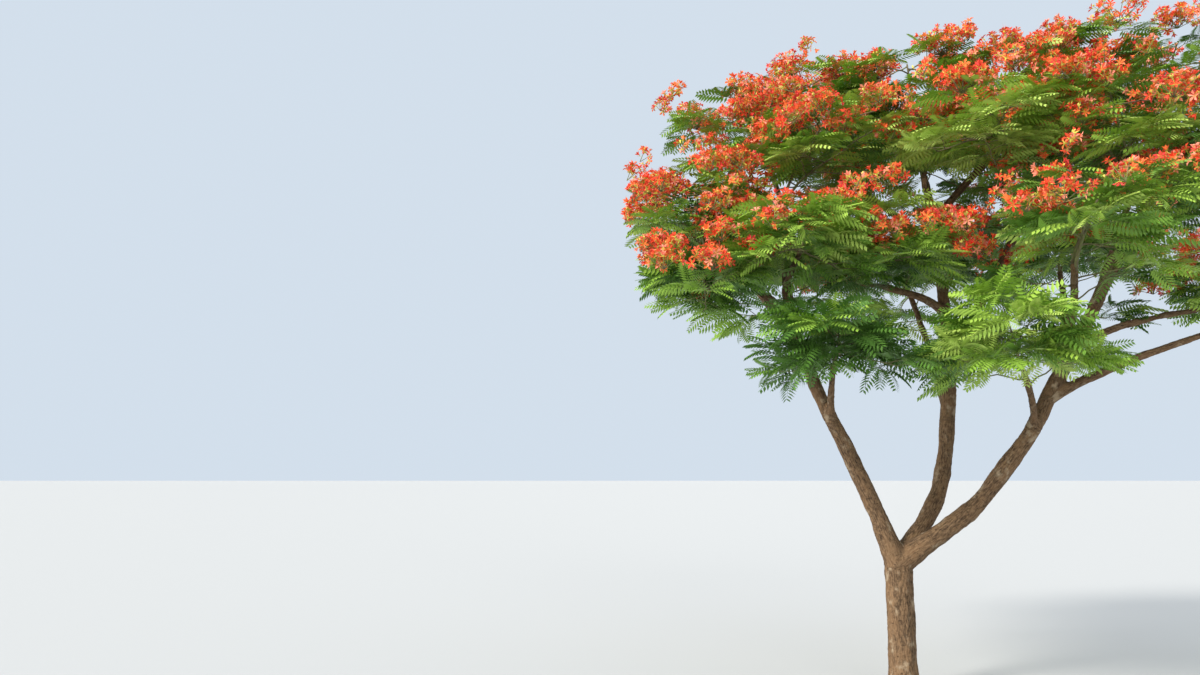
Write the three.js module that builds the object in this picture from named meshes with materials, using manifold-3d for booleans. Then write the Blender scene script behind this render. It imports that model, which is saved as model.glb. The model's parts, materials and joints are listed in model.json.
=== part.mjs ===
// A young flame tree in flower, rooted in the ground: a short trunk that forks into three boughs, the limbs
// that spread from them, and the masses of feathery leaves and of blossom that the limbs carry.
// Millimetres, +Z up, +X to the viewer's right, +Y away from the viewer. The origin is the middle of the
// trunk's flat cut at ground level. Points are written [right, away, up].
import * as THREE from "three";
import { mergeVertices } from "three/addons/utils/BufferGeometryUtils.js";
import Module from "manifold-3d";

const wasm = await Module();
wasm.setup();

// Driving dimensions
const TRUNK_RADIUS = 147;
const FORK_HEIGHT = 1290;
const CROTCH_HEIGHT = 1450;
const FLARE = { reach: 62, height: 127, lobes: 5, lobeDepth: 0.35 };
const CROTCH_TAPER = 0.72;
const BOUGH_COLLAR = { swell: 0.55, reach: 2.8 };
const SIDE_LIMB_COLLAR = { swell: 0.35, reach: 2.8 };
const SIDE_LIMB_TAPER = 0.85;
const SIDE_LIMB_LEAD = { alongParent: 0.35, share: 0.38 };
const ARM_LENGTH = 470;
const TRUNK = { sides: 15, steps: 8 };
const BOUGH = { sides: 8, stepLength: 520 };
const SIDE_LIMB = { sides: 6, stepLength: 450 };
const GAP = 0.3;
const CLEARANCE = 1.5;
const SLIVER = 0.5;
const PAD_FLATNESS = 0.76;
const BLOSSOM_SPLIT = 0.2;
const STEM = {
  root: 12,
  tip: 8,
  sides: 4,
  steps: 3,
  lead: 0.4,
  parting: 75,
  goal: { leaf: -0.05, blossom: 0.34 },
};
const TWIG = { root: 7, tip: 5, sides: 3, fits: [1, 0.8, 0.6, 0.4] };
const LEAF = {
  length: 620,
  slimness: 0.5,
  thickness: 16,
  widest: 0.45,
  droop: 0.14,
  sunk: 3,
  sway: 0.8,
  fan: [[0, 0], [0.9, 0.2], [-0.9, 0.2], [1.5, 0.55], [-1.5, 0.55]],
  fits: [[1, 0.5], [1, -0.1], [1, 1], [0.85, 0.7], [0.85, 0.2], [0.7, 0.4], [0.7, 0.9], [0.55, 0.5]],
};
const TRUSS = {
  radius: 250,
  flatness: 0.42,
  sides: 5,
  sunk: 4,
  backs: [0, 0.72],
  fits: [1, 0.8, 0.65],
};
const SEED = 20;

const COLOURS = { bark: 0x7d6550, leaf: 0x55852f, blossom: 0xe0492a };

// Tiers of twigs in a mass. They leave the stem between two shares of its length. Reach, rise and stagger are
// shares of the pad's spread, and tilt is in radians.
const TIERS = {
  leaf: [
    { twigs: 4, from: 0.5, to: 0.92, reach: 0.5, rise: -0.06, stagger: 0.34, tilt: -0.4 },
    { twigs: 1, from: 0.94, to: 1, reach: 0.15, rise: 0.34, stagger: 0, tilt: 0, onlyBare: true },
  ],
  blossom: [{ twigs: 4, from: 0.9, to: 0.99, reach: 0.54, rise: 0.3, stagger: 0.1, tilt: 0 }],
};

// Each limb leaves its parent at a share of the parent's length and runs through its knees to its tip. The
// higher its taper, the longer it stays thick.
const LIMBS = [
  {
    name: "bough_left",
    from: "trunk",
    knees: [[-330, -150, 2020], [-760, -350, 2870], [-1120, -480, 3800]],
    tip: [-1130, -330, 4950],
    radii: [90, 36],
    taper: 1.3,
  },
  {
    name: "bough_centre",
    from: "trunk",
    knees: [[480, 180, 1900], [640, 270, 2250], [800, 400, 3130], [830, 390, 4000], [730, 300, 4900]],
    tip: [640, 320, 5650],
    radii: [84, 36],
    taper: 2.6,
  },
  {
    name: "bough_right",
    from: "trunk",
    knees: [[755, -200, 1890], [1290, -390, 2640], [1800, -420, 3500], [2360, -150, 4270]],
    tip: [3120, -40, 5450],
    radii: [96, 36],
    taper: 1.3,
  },
  { name: "limb_left_low", from: "bough_left", at: 0.42, tip: [-860, -1050, 3230], radii: [42, 26] },
  { name: "limb_left_out", from: "bough_left", at: 0.7, tip: [-1900, -560, 4350], radii: [46, 32] },
  { name: "limb_left_front", from: "bough_left", at: 0.79, tip: [-1150, -1180, 4330], radii: [36, 26] },
  { name: "limb_left_back", from: "bough_left", at: 0.57, tip: [-1250, 1150, 4550], radii: [48, 30] },
  { name: "limb_centre_out", from: "bough_centre", at: 0.64, tip: [-330, -330, 4180], radii: [50, 28] },
  { name: "limb_centre_up", from: "bough_centre", at: 0.78, tip: [-400, 560, 5750], radii: [46, 32] },
  { name: "limb_centre_right", from: "bough_centre", at: 0.46, tip: [2020, 620, 5350], radii: [58, 44] },
  { name: "limb_centre_back", from: "bough_centre", at: 0.38, tip: [950, 1950, 4700], radii: [50, 30] },
  { name: "limb_centre_front", from: "bough_centre", at: 0.86, tip: [1050, -600, 5500], radii: [48, 37] },
  { name: "limb_right_low", from: "bough_right", at: 0.43, tip: [3250, -950, 3680], radii: [54, 26] },
  { name: "limb_right_mid", from: "bough_right", at: 0.55, tip: [3650, 150, 4020], radii: [46, 26] },
  { name: "limb_right_front", from: "bough_right", at: 0.5, tip: [1180, -1650, 4050], radii: [46, 33] },
  { name: "limb_front_low", from: "bough_right", at: 0.37, tip: [800, -1320, 3160], radii: [40, 26] },
  { name: "limb_right_up", from: "bough_right", at: 0.66, tip: [2020, -1200, 4800], radii: [48, 32] },
  { name: "limb_right_back", from: "bough_right", at: 0.47, tip: [2650, 1300, 4700], radii: [54, 30] },
];

// Each mass of leaves keeps to a flat pad round its heart. A pad with blossom gives its upper part to it.
const PADS = [
  { name: "left_low", limb: "limb_left_low", heart: [-880, -1450, 3350], spread: 920 },
  { name: "left_out", limb: "limb_left_out", heart: [-2080, -480, 4850], spread: 880, blossom: true },
  { name: "left_edge", limb: "limb_left_out", heart: [-2050, -1000, 4020], spread: 720 },
  { name: "left_front", limb: "limb_left_front", heart: [-1250, -1400, 4300], spread: 850, blossom: true },
  { name: "left_top", limb: "bough_left", heart: [-1480, 250, 6050], spread: 900, blossom: true },
  { name: "left_shoulder", limb: "bough_left", heart: [-720, -900, 5450], spread: 850, blossom: true },
  { name: "left_back", limb: "limb_left_back", heart: [-1750, 1350, 5050], spread: 900 },
  { name: "back_left", limb: "limb_left_back", heart: [-650, 2050, 5000], spread: 900 },
  { name: "centre_out", limb: "limb_centre_out", heart: [-280, -950, 4400], spread: 880 },
  { name: "centre_left_top", limb: "limb_centre_up", heart: [-520, 700, 6600], spread: 850, blossom: true },
  { name: "centre_top", limb: "bough_centre", heart: [400, 0, 6480], spread: 880, blossom: true },
  { name: "back_top", limb: "bough_centre", heart: [450, 1450, 6250], spread: 900 },
  { name: "right_top", limb: "limb_centre_right", heart: [2450, -50, 6700], spread: 880, blossom: true },
  {
    name: "back_right_top",
    limb: "limb_centre_right",
    heart: [1650, 1050, 6400],
    spread: 900,
    blossom: true,
  },
  { name: "back_low", limb: "limb_centre_back", heart: [650, 2550, 5000], spread: 900 },
  { name: "back_right", limb: "limb_centre_back", heart: [1800, 2400, 5150], spread: 880 },
  {
    name: "centre_right_top",
    limb: "limb_centre_front",
    heart: [1450, -250, 6350],
    spread: 850,
    blossom: true,
  },
  { name: "front_top", limb: "limb_centre_front", heart: [450, -1450, 5350], spread: 850, blossom: true },
  { name: "right_edge_top", limb: "bough_right", heart: [3350, -150, 6480], spread: 900, blossom: true },
  { name: "right_edge", limb: "bough_right", heart: [3900, 450, 5400], spread: 880 },
  { name: "right_low", limb: "limb_right_low", heart: [3500, -1150, 4050], spread: 820 },
  { name: "right_mid", limb: "limb_right_mid", heart: [4050, 150, 4250], spread: 800 },
  { name: "front_right", limb: "limb_right_front", heart: [1150, -2150, 4350], spread: 850, blossom: true },
  { name: "front_low", limb: "limb_front_low", heart: [540, -1780, 3350], spread: 880 },
  { name: "front_right_top", limb: "limb_right_up", heart: [1650, -1550, 5350], spread: 850, blossom: true },
  { name: "right_front", limb: "limb_right_up", heart: [2700, -1600, 4950], spread: 850 },
  { name: "right_back", limb: "limb_right_back", heart: [3050, 1750, 5050], spread: 900 },
  { name: "right_back_top", limb: "limb_right_back", heart: [2850, 1050, 5850], spread: 850 },
];

// Helpers
const lerp = THREE.MathUtils.lerp;
const clamp = THREE.MathUtils.clamp;
const point = (p) => new THREE.Vector3(...p);

// A small seeded generator, so that the same tree grows every time.
function seededRandom(seed) {
  let state = seed >>> 0;
  return () => {
    state = (state + 0x6d2b79f5) >>> 0;
    let mixed = Math.imul(state ^ (state >>> 15), 1 | state);
    mixed = (mixed + Math.imul(mixed ^ (mixed >>> 7), 61 | mixed)) ^ mixed;
    return ((mixed ^ (mixed >>> 14)) >>> 0) / 4294967296;
  };
}

function solidFrom(geometry) {
  const bare = geometry.clone();
  bare.deleteAttribute("normal");
  bare.deleteAttribute("uv");
  const merged = mergeVertices(bare, 1e-3);
  return new wasm.Manifold(
    new wasm.Mesh({
      numProp: 3,
      vertProperties: new Float32Array(merged.attributes.position.array),
      triVerts: new Uint32Array(merged.index.array),
    }),
  );
}

function geometryFrom(solid) {
  const { vertProperties, triVerts } = solid.simplify(SLIVER).getMesh();
  const geometry = new THREE.BufferGeometry();
  geometry.setAttribute("position", new THREE.BufferAttribute(vertProperties, 3));
  geometry.setIndex(new THREE.BufferAttribute(triVerts, 1));
  geometry.computeVertexNormals();
  return geometry;
}

function largestPiece(solid) {
  return solid.decompose().reduce((best, piece) => (piece.volume() > best.volume() ? piece : best));
}

// Tubes along a curve
const FRAME_STEPS = 240;

// The direction and the two cross directions of a curve, carried along it without twist.
function framesOf(curve) {
  const frames = curve.computeFrenetFrames(FRAME_STEPS, false);
  const at = (list, share) => list[Math.round(clamp(share, 0, 1) * FRAME_STEPS)];
  return (share) => ({
    tangent: at(frames.tangents, share),
    normal: at(frames.normals, share),
    binormal: at(frames.binormals, share),
  });
}

// A cylinder bent along a stretch of a curve. radiusAt(share, angle) gives its radius in millimetres.
function tubeSolid(curve, frameAt, start, end, radiusAt, sides, steps) {
  const tube = new THREE.CylinderGeometry(1, 1, 1, sides, steps);
  const position = tube.attributes.position;
  const vertex = new THREE.Vector3();
  for (let i = 0; i < position.count; i++) {
    vertex.fromBufferAttribute(position, i);
    const share = lerp(start, end, vertex.y + 0.5);
    const spread = Math.hypot(vertex.x, vertex.z);
    const angle = Math.atan2(vertex.z, vertex.x);
    const radius = spread * radiusAt(share, angle);
    const { normal, binormal } = frameAt(share);
    vertex.copy(curve.getPointAt(share));
    vertex.addScaledVector(normal, radius * Math.cos(angle));
    vertex.addScaledVector(binormal, -radius * Math.sin(angle));
    position.setXYZ(i, vertex.x, vertex.y, vertex.z);
  }
  return solidFrom(tube);
}

// A straight tapered prism between two points, for twigs.
function prismSolid(from, to, rootRadius, tipRadius, sides) {
  const along = to.clone().sub(from);
  const prism = new THREE.CylinderGeometry(tipRadius, rootRadius, along.length(), sides, 1);
  const axis = new THREE.Vector3(0, 1, 0);
  prism.applyQuaternion(new THREE.Quaternion().setFromUnitVectors(axis, along.clone().normalize()));
  const middle = from.clone().add(to).multiplyScalar(0.5);
  prism.translate(middle.x, middle.y, middle.z);
  return solidFrom(prism);
}

// Trunk and limbs
const limbs = new Map();

// A bough runs from the fork through its knees.
function boughCurve(limb) {
  const fork = new THREE.Vector3(0, 0, FORK_HEIGHT);
  const path = [fork, ...limb.knees.map(point), point(limb.tip)];
  return new THREE.CatmullRomCurve3(path, false, "centripetal");
}

// A side limb leaves partly along its parent and then bends outwards.
function sideLimbCurve(limb) {
  const parent = limbs.get(limb.from);
  const foot = parent.curve.getPointAt(limb.at);
  const away = point(limb.tip).sub(foot);
  const lead = parent.frameAt(limb.at).tangent.clone().multiplyScalar(SIDE_LIMB_LEAD.alongParent);
  lead.add(away.clone().normalize()).normalize().multiplyScalar(away.length() * SIDE_LIMB_LEAD.share);
  return new THREE.QuadraticBezierCurve3(foot, foot.clone().add(lead), point(limb.tip));
}

// A limb is a little wider at its root, where it grows out of its parent.
function limbRadius(limb, length) {
  const [root, tip] = limb.radii;
  const taper = limb.taper ?? SIDE_LIMB_TAPER;
  const { swell, reach } = limb.from === "trunk" ? BOUGH_COLLAR : SIDE_LIMB_COLLAR;
  const collar = (share) => swell * Math.exp((-share * length) / (reach * root));
  return (share) => lerp(root, tip, Math.pow(share, taper)) * (1 + collar(share));
}

function growLimb(limb) {
  const main = limb.from === "trunk";
  const curve = main ? boughCurve(limb) : sideLimbCurve(limb);
  const frameAt = framesOf(curve);
  const length = curve.getLength();
  const radiusAt = limbRadius(limb, length);
  const { sides, stepLength } = main ? BOUGH : SIDE_LIMB;
  const steps = Math.max(4, Math.round(length / stepLength));
  const start = main ? (ARM_LENGTH + GAP) / length : 0;
  const grown = { ...limb, curve, frameAt, length, radiusAt, sides };
  const whole = tubeSolid(curve, frameAt, start, 1, radiusAt, sides, steps);
  grown.sleeve = tubeSolid(curve, frameAt, start, 1, (share) => radiusAt(share) + GAP, sides, steps);
  grown.solid = main ? whole : largestPiece(whole.subtract(limbs.get(limb.from).sleeve));
  limbs.set(limb.name, grown);
}

// The trunk's stem flares into low root lobes at the ground and closes over between the arms of the fork.
function trunkStem() {
  const curve = new THREE.LineCurve3(new THREE.Vector3(0, 0, 0), new THREE.Vector3(0, 0, CROTCH_HEIGHT));
  const frame = {
    tangent: new THREE.Vector3(0, 0, 1),
    normal: new THREE.Vector3(1, 0, 0),
    binormal: new THREE.Vector3(0, 1, 0),
  };
  const closing = (height) => clamp((height - FORK_HEIGHT) / (CROTCH_HEIGHT - FORK_HEIGHT), 0, 1);
  const radiusAt = (share, angle) => {
    const height = share * CROTCH_HEIGHT;
    const flare = FLARE.reach * Math.exp(-height / FLARE.height);
    const lobe = 1 + FLARE.lobeDepth * Math.cos(FLARE.lobes * angle);
    const round = TRUNK_RADIUS * Math.sqrt(1 - CROTCH_TAPER * closing(height) ** 2);
    return round + flare * lobe;
  };
  return tubeSolid(curve, () => frame, 0, 1, radiusAt, TRUNK.sides, TRUNK.steps);
}

function growTrunk() {
  const arms = [...limbs.values()]
    .filter((limb) => limb.from === "trunk")
    .map((limb) => {
      const end = ARM_LENGTH / limb.length;
      return tubeSolid(limb.curve, limb.frameAt, 0, end, limb.radiusAt, limb.sides, 2);
    });
  return wasm.Manifold.union([trunkStem(), ...arms]);
}

// Foliage
const pads = PADS.map((pad) => ({ ...pad, centre: point(pad.heart) }));

// Below 0 inside a pad, and lower the deeper it lies. Two pads divide what they share along a plane.
function depthIn(pad, p) {
  const flatHeight = (p.z - pad.centre.z) / PAD_FLATNESS;
  return Math.hypot(p.x - pad.centre.x, p.y - pad.centre.y, flatHeight) ** 2 - pad.spread ** 2;
}

const splitHeight = (pad) => pad.centre.z + BLOSSOM_SPLIT * pad.spread;

// Whether all the corners of a solid lie in the space that its pad leaves to leaves or to blossom.
function keepsToSpace(solid, { pad, part }) {
  const { vertProperties } = solid.getMesh();
  for (let i = 0; i < vertProperties.length; i += 3) {
    const corner = point(vertProperties.subarray(i, i + 3));
    const own = depthIn(pad, corner);
    if (own > 0) return false;
    if (part === "blossom" && corner.z < splitHeight(pad)) return false;
    if (part === "leaf" && pad.blossom && corner.z > splitHeight(pad)) return false;
    const margin = 4 * pad.spread * CLEARANCE;
    if (pads.some((other) => other !== pad && depthIn(other, corner) < own + margin)) return false;
  }
  return true;
}

const grownSolids = new Map();

function addSolid(name, solid, colour) {
  grownSolids.set(name, { solid, box: solid.boundingBox(), colour });
}

function touchesOthers(solid, own) {
  const box = solid.boundingBox();
  const near = (other) => [0, 1, 2].every(
    (k) => box.min[k] - CLEARANCE < other.max[k] && other.min[k] - CLEARANCE < box.max[k],
  );
  for (const [name, other] of grownSolids) {
    if (name === own || !near(other.box)) continue;
    if (solid.minGap(other.solid, CLEARANCE) < CLEARANCE) return true;
  }
  return false;
}

const heading = (azimuth, rise) => new THREE.Vector3(
  Math.cos(azimuth) * Math.cos(rise),
  Math.sin(azimuth) * Math.cos(rise),
  Math.sin(rise),
);

// A leaf is a kite-shaped blade folded along its middle: its root and tip are joined by a keel, and its two
// widest corners by a ridge one thickness above it. It is rolled to one side, and its tip droops.
function leafSolid(root, ahead, length, roll) {
  const side = new THREE.Vector3(0, 0, 1).cross(ahead).normalize().applyAxisAngle(ahead, roll);
  const up = ahead.clone().cross(side);
  const corner = (along, across, lift) => root.clone()
    .addScaledVector(ahead, along * length - LEAF.sunk)
    .addScaledVector(side, across * length)
    .addScaledVector(up, lift);
  const keelRoot = corner(0, 0, 0);
  const keelTip = corner(1, 0, -LEAF.droop * length);
  const left = corner(LEAF.widest, LEAF.slimness / 2, LEAF.thickness);
  const right = corner(LEAF.widest, -LEAF.slimness / 2, LEAF.thickness);
  const top = [keelRoot, right, left, keelTip, left, right];
  const underside = [keelRoot, left, keelTip, keelRoot, keelTip, right];
  return solidFrom(new THREE.BufferGeometry().setFromPoints([...top, ...underside]));
}

// A truss of blossom: a low double cone that stands on a twig's end.
function trussSolid(foot, radius, turn) {
  const cone = new THREE.SphereGeometry(1, TRUSS.sides, 2);
  cone.rotateX(Math.PI / 2);
  cone.rotateZ(turn);
  cone.scale(radius, radius, radius * TRUSS.flatness);
  cone.translate(foot.x, foot.y, foot.z + radius * TRUSS.flatness - TRUSS.sunk);
  return solidFrom(cone);
}

// The stems that share a limb's tip stand evenly round its face, each on the side that it grows towards. The
// goals of the two stems of a pad with blossom lie to the left and the right of the limb's way.
function plantStems(limb) {
  const { tangent, normal, binormal } = limb.frameAt(1);
  const face = limb.curve.getPointAt(1).addScaledVector(tangent, GAP);
  const side = tangent.clone().cross(new THREE.Vector3(0, 0, 1)).normalize();
  const plan = (pad, part, hand) => {
    const goal = pad.centre.clone().addScaledVector(side, hand * STEM.parting);
    goal.z += pad.spread * STEM.goal[part];
    const away = goal.clone().sub(face);
    const angle = Math.atan2(away.dot(binormal), away.dot(normal));
    return { name: `${part}_${pad.name}`, pad, part, goal, angle };
  };
  const planned = (pad) => {
    if (!pad.blossom) return [plan(pad, "leaf", 0)];
    return [plan(pad, "blossom", -1), plan(pad, "leaf", 1)];
  };
  const carried = pads.filter((pad) => pad.limb === limb.name);
  const stems = carried.flatMap(planned).sort((a, b) => a.angle - b.angle);
  const slot = (2 * Math.PI) / stems.length;
  const turn = stems.reduce((sum, stem, index) => sum + (stem.angle - index * slot) / stems.length, 0);
  const ring = stems.length > 1 ? limb.radiusAt(1) - STEM.root - 1 : 0;
  stems.forEach((stem, index) => {
    const foot = face.clone();
    foot.addScaledVector(normal, ring * Math.cos(turn + index * slot));
    foot.addScaledVector(binormal, ring * Math.sin(turn + index * slot));
    const bend = foot.clone().addScaledVector(tangent, STEM.lead * stem.pad.centre.distanceTo(face));
    stem.curve = new THREE.QuadraticBezierCurve3(foot, bend, stem.goal);
    const radiusAt = (share) => lerp(STEM.root, STEM.tip, share);
    stem.solid = tubeSolid(stem.curve, framesOf(stem.curve), 0, 1, radiusAt, STEM.sides, STEM.steps);
  });
  return stems;
}

// Tiers of twigs leave a stem round its last stretch. Each twig bears its fan of leaves, or its blossom.
function growMass(stem, seed) {
  const bear = stem.part === "leaf" ? bearLeaves : bearBlossom;
  const random = seededRandom(seed);
  const kept = [stem.solid];
  // A twig or leaf is kept only where it stays in its space and touches nothing but what carries it.
  const keep = (solid, carrier) => {
    const fits = keepsToSpace(solid, stem)
      && !touchesOthers(solid, stem.name)
      && !kept.some((other) => other !== carrier && solid.minGap(other, CLEARANCE) < CLEARANCE);
    if (fits) kept.push(solid);
    return fits;
  };
  for (const tier of TIERS[stem.part]) {
    if (tier.onlyBare && stem.pad.blossom) continue;
    const turn = 2 * Math.PI * random();
    for (let k = 0; k < tier.twigs; k++) {
      const azimuth = turn + (2 * Math.PI * (k + 0.3 * random())) / tier.twigs;
      const foot = stem.curve.getPointAt(lerp(tier.from, tier.to, (k + 0.5) / tier.twigs));
      const rise = tier.rise + tier.stagger * ((k % 2) - 0.5);
      TWIG.fits.some((scale) => {
        const end = stem.pad.centre.clone();
        end.addScaledVector(heading(azimuth, 0), stem.pad.spread * tier.reach * scale);
        end.z += stem.pad.spread * rise;
        const twig = prismSolid(foot, end, TWIG.root, TWIG.tip, TWIG.sides);
        const fits = keep(twig, stem.solid);
        if (fits) bear({ foot, end, azimuth, random, twig, keep, tier });
        return fits;
      });
    }
  }
  return largestPiece(wasm.Manifold.union(kept));
}

function bearLeaves({ foot, end, azimuth, random, twig, keep, tier }) {
  for (const [turn, back] of LEAF.fan) {
    const root = end.clone().lerp(foot, back);
    const ahead = heading(azimuth + turn, tier.tilt + LEAF.sway * (random() - 0.5));
    const length = LEAF.length * lerp(0.85, 1.1, random());
    const side = turn < 0 ? -1 : 1;
    LEAF.fits.some(([scale, roll]) => keep(leafSolid(root, ahead, length * scale, roll * side), twig));
  }
}

function bearBlossom({ foot, end, random, twig, keep }) {
  for (const back of TRUSS.backs) {
    const radius = TRUSS.radius * lerp(0.85, 1.15, random());
    const turn = random();
    const stand = end.clone().lerp(foot, back);
    TRUSS.fits.some((scale) => keep(trussSolid(stand, radius * scale, turn), twig));
  }
}

function growMasses() {
  const stems = [...limbs.values()].flatMap(plantStems);
  stems.forEach((stem) => addSolid(stem.name, stem.solid, COLOURS[stem.part]));
  stems.forEach((stem, index) => {
    addSolid(stem.name, growMass(stem, SEED + index), COLOURS[stem.part]);
  });
}

// Assembly
LIMBS.forEach(growLimb);
addSolid("trunk", growTrunk(), COLOURS.bark);
limbs.forEach((limb, name) => addSolid(name, limb.solid, COLOURS.bark));
growMasses();

const tree = new THREE.Group();
for (const [name, { solid, colour }] of grownSolids) {
  const roughness = colour === COLOURS.bark ? 0.9 : 0.6;
  const mesh = new THREE.Mesh(
    geometryFrom(solid),
    new THREE.MeshStandardMaterial({ color: colour, roughness, metalness: 0 }),
  );
  mesh.name = name;
  tree.add(mesh);
}

export default tree;
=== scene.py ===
# A young flame tree in flower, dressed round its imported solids: barked trunk and limbs, twigs, feathery
# leaves and trusses of blossom. Metres, +Z up, +X to the viewer's right, +Y away from the viewer.
import json
import math
from collections import namedtuple

import bmesh
import bpy
import numpy as np
from bpy.props import FloatProperty, FloatVectorProperty, IntProperty, PointerProperty
from mathutils import Matrix, Vector, kdtree, noise

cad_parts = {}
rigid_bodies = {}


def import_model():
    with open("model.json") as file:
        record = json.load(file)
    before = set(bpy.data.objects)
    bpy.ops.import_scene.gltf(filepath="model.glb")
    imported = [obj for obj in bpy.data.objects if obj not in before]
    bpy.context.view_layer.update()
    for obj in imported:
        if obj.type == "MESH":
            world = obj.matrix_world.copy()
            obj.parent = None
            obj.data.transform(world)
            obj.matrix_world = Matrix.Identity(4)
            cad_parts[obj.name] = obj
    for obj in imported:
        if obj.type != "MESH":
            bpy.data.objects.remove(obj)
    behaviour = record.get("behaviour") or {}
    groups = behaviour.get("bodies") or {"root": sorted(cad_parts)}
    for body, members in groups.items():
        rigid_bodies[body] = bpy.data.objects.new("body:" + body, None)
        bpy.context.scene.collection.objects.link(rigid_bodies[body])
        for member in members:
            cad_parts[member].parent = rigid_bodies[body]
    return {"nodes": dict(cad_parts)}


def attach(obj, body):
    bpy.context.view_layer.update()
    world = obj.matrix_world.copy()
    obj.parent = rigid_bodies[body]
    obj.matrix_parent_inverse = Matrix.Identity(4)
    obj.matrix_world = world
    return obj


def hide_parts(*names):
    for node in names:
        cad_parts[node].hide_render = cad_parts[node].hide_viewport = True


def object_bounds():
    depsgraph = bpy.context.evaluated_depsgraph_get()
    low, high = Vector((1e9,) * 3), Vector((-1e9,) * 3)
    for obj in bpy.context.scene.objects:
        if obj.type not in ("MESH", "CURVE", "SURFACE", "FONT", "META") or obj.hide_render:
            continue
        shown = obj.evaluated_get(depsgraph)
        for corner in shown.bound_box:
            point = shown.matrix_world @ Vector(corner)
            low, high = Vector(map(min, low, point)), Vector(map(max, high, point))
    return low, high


bl_info = {
    "name": "Flame tree",
    "version": (1, 0, 0),
    "blender": (4, 5, 0),
    "location": "3D View > Sidebar > Flame tree",
    "description": "Grows the bark, twigs, leaves and blossom of a flame tree round its packed solids",
    "category": "Object",
}

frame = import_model()
CAD_BOX = [[float(value) for value in corner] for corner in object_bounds()]

# Sizes of the solids' rule, in metres
FORK_HEIGHT = 1.29
CROTCH_HEIGHT = 1.45
TRUNK_RADIUS = 0.147
BARK_EASE = 0.009
FLARE_REACH = 0.062
FLARE_HEIGHT = 0.127
FLARE_LOBES = 5
FLARE_LOBE_DEPTH = 0.35
CROTCH_TAPER = 0.72
BOUGH_COLLAR = (0.55, 2.8)
SIDE_LIMB_COLLAR = (0.35, 1.6)
SIDE_LIMB_TAPER = 0.85
LEAD_ALONG_PARENT = 0.35
LEAD_SHARE = 0.38
PAD_FLATNESS = 0.76
STEM_RADII = (0.019, 0.009)
STEM_RING = 0.013
STEM_LEAD = 0.4
STEM_PARTING = 0.075
STEM_GOAL = {"leaf": -0.05, "blossom": 0.34}
TWIG_RADII = (0.0085, 0.0048)
TWIG_SWING = 0.3
SPRIG_RADII = (0.0046, 0.0022)
SEED = 20

# Tiers of twigs on a stem: how many, from and to which share of the stem, reach, rise and stagger as
# shares of the pad's spread, whether only pads without blossom have it, and the random draws that each
# twig's load takes.
Tier = namedtuple("Tier", "twigs start end reach rise stagger only_bare draws")
TIERS = {
    "leaf": (
        Tier(4, 0.5, 0.92, 0.5, -0.06, 0.34, False, 10),
        Tier(1, 0.94, 1.0, 0.15, 0.34, 0.0, True, 10),
    ),
    "blossom": (Tier(4, 0.9, 0.99, 0.54, 0.3, 0.1, False, 4),),
}

# A limb leaves its parent at a share of the parent's length and runs through its knees to its tip. The
# higher its taper, the longer it stays thick.
Limb = namedtuple("Limb", "name parent at knees tip radii taper", defaults=[SIDE_LIMB_TAPER])
LIMBS = (
    Limb("bough_left", "trunk", 0, ((-0.33, -0.15, 2.02), (-0.76, -0.35, 2.87), (-1.12, -0.48, 3.8)),
         (-1.13, -0.33, 4.95), (0.09, 0.036), 1.3),
    Limb("bough_centre", "trunk", 0,
         ((0.48, 0.18, 1.9), (0.64, 0.27, 2.25), (0.8, 0.4, 3.13), (0.83, 0.39, 4), (0.73, 0.3, 4.9)),
         (0.64, 0.32, 5.65), (0.084, 0.036), 2.6),
    Limb("bough_right", "trunk", 0,
         ((0.755, -0.2, 1.89), (1.29, -0.39, 2.64), (1.8, -0.42, 3.5), (2.36, -0.15, 4.27)),
         (3.12, -0.04, 5.45), (0.096, 0.036), 1.3),
    Limb("limb_left_low", "bough_left", 0.42, (), (-0.86, -1.05, 3.23), (0.042, 0.026)),
    Limb("limb_left_out", "bough_left", 0.7, (), (-1.9, -0.56, 4.35), (0.046, 0.032)),
    Limb("limb_left_front", "bough_left", 0.79, (), (-1.15, -1.18, 4.33), (0.036, 0.026)),
    Limb("limb_left_back", "bough_left", 0.57, (), (-1.25, 1.15, 4.55), (0.048, 0.03)),
    Limb("limb_centre_out", "bough_centre", 0.64, (), (-0.33, -0.33, 4.18), (0.05, 0.028)),
    Limb("limb_centre_up", "bough_centre", 0.78, (), (-0.4, 0.56, 5.75), (0.046, 0.032)),
    Limb("limb_centre_right", "bough_centre", 0.46, (), (2.02, 0.62, 5.35), (0.058, 0.044)),
    Limb("limb_centre_back", "bough_centre", 0.38, (), (0.95, 1.95, 4.7), (0.05, 0.03)),
    Limb("limb_centre_front", "bough_centre", 0.86, (), (1.05, -0.6, 5.5), (0.048, 0.037)),
    Limb("limb_right_low", "bough_right", 0.43, (), (3.25, -0.95, 3.68), (0.054, 0.026)),
    Limb("limb_right_mid", "bough_right", 0.55, (), (3.65, 0.15, 4.02), (0.046, 0.026)),
    Limb("limb_right_front", "bough_right", 0.5, (), (1.18, -1.65, 4.05), (0.046, 0.033)),
    Limb("limb_front_low", "bough_right", 0.37, (), (0.8, -1.32, 3.16), (0.04, 0.026)),
    Limb("limb_right_up", "bough_right", 0.66, (), (2.02, -1.2, 4.8), (0.048, 0.032)),
    Limb("limb_right_back", "bough_right", 0.47, (), (2.65, 1.3, 4.7), (0.054, 0.03)),
)

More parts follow.
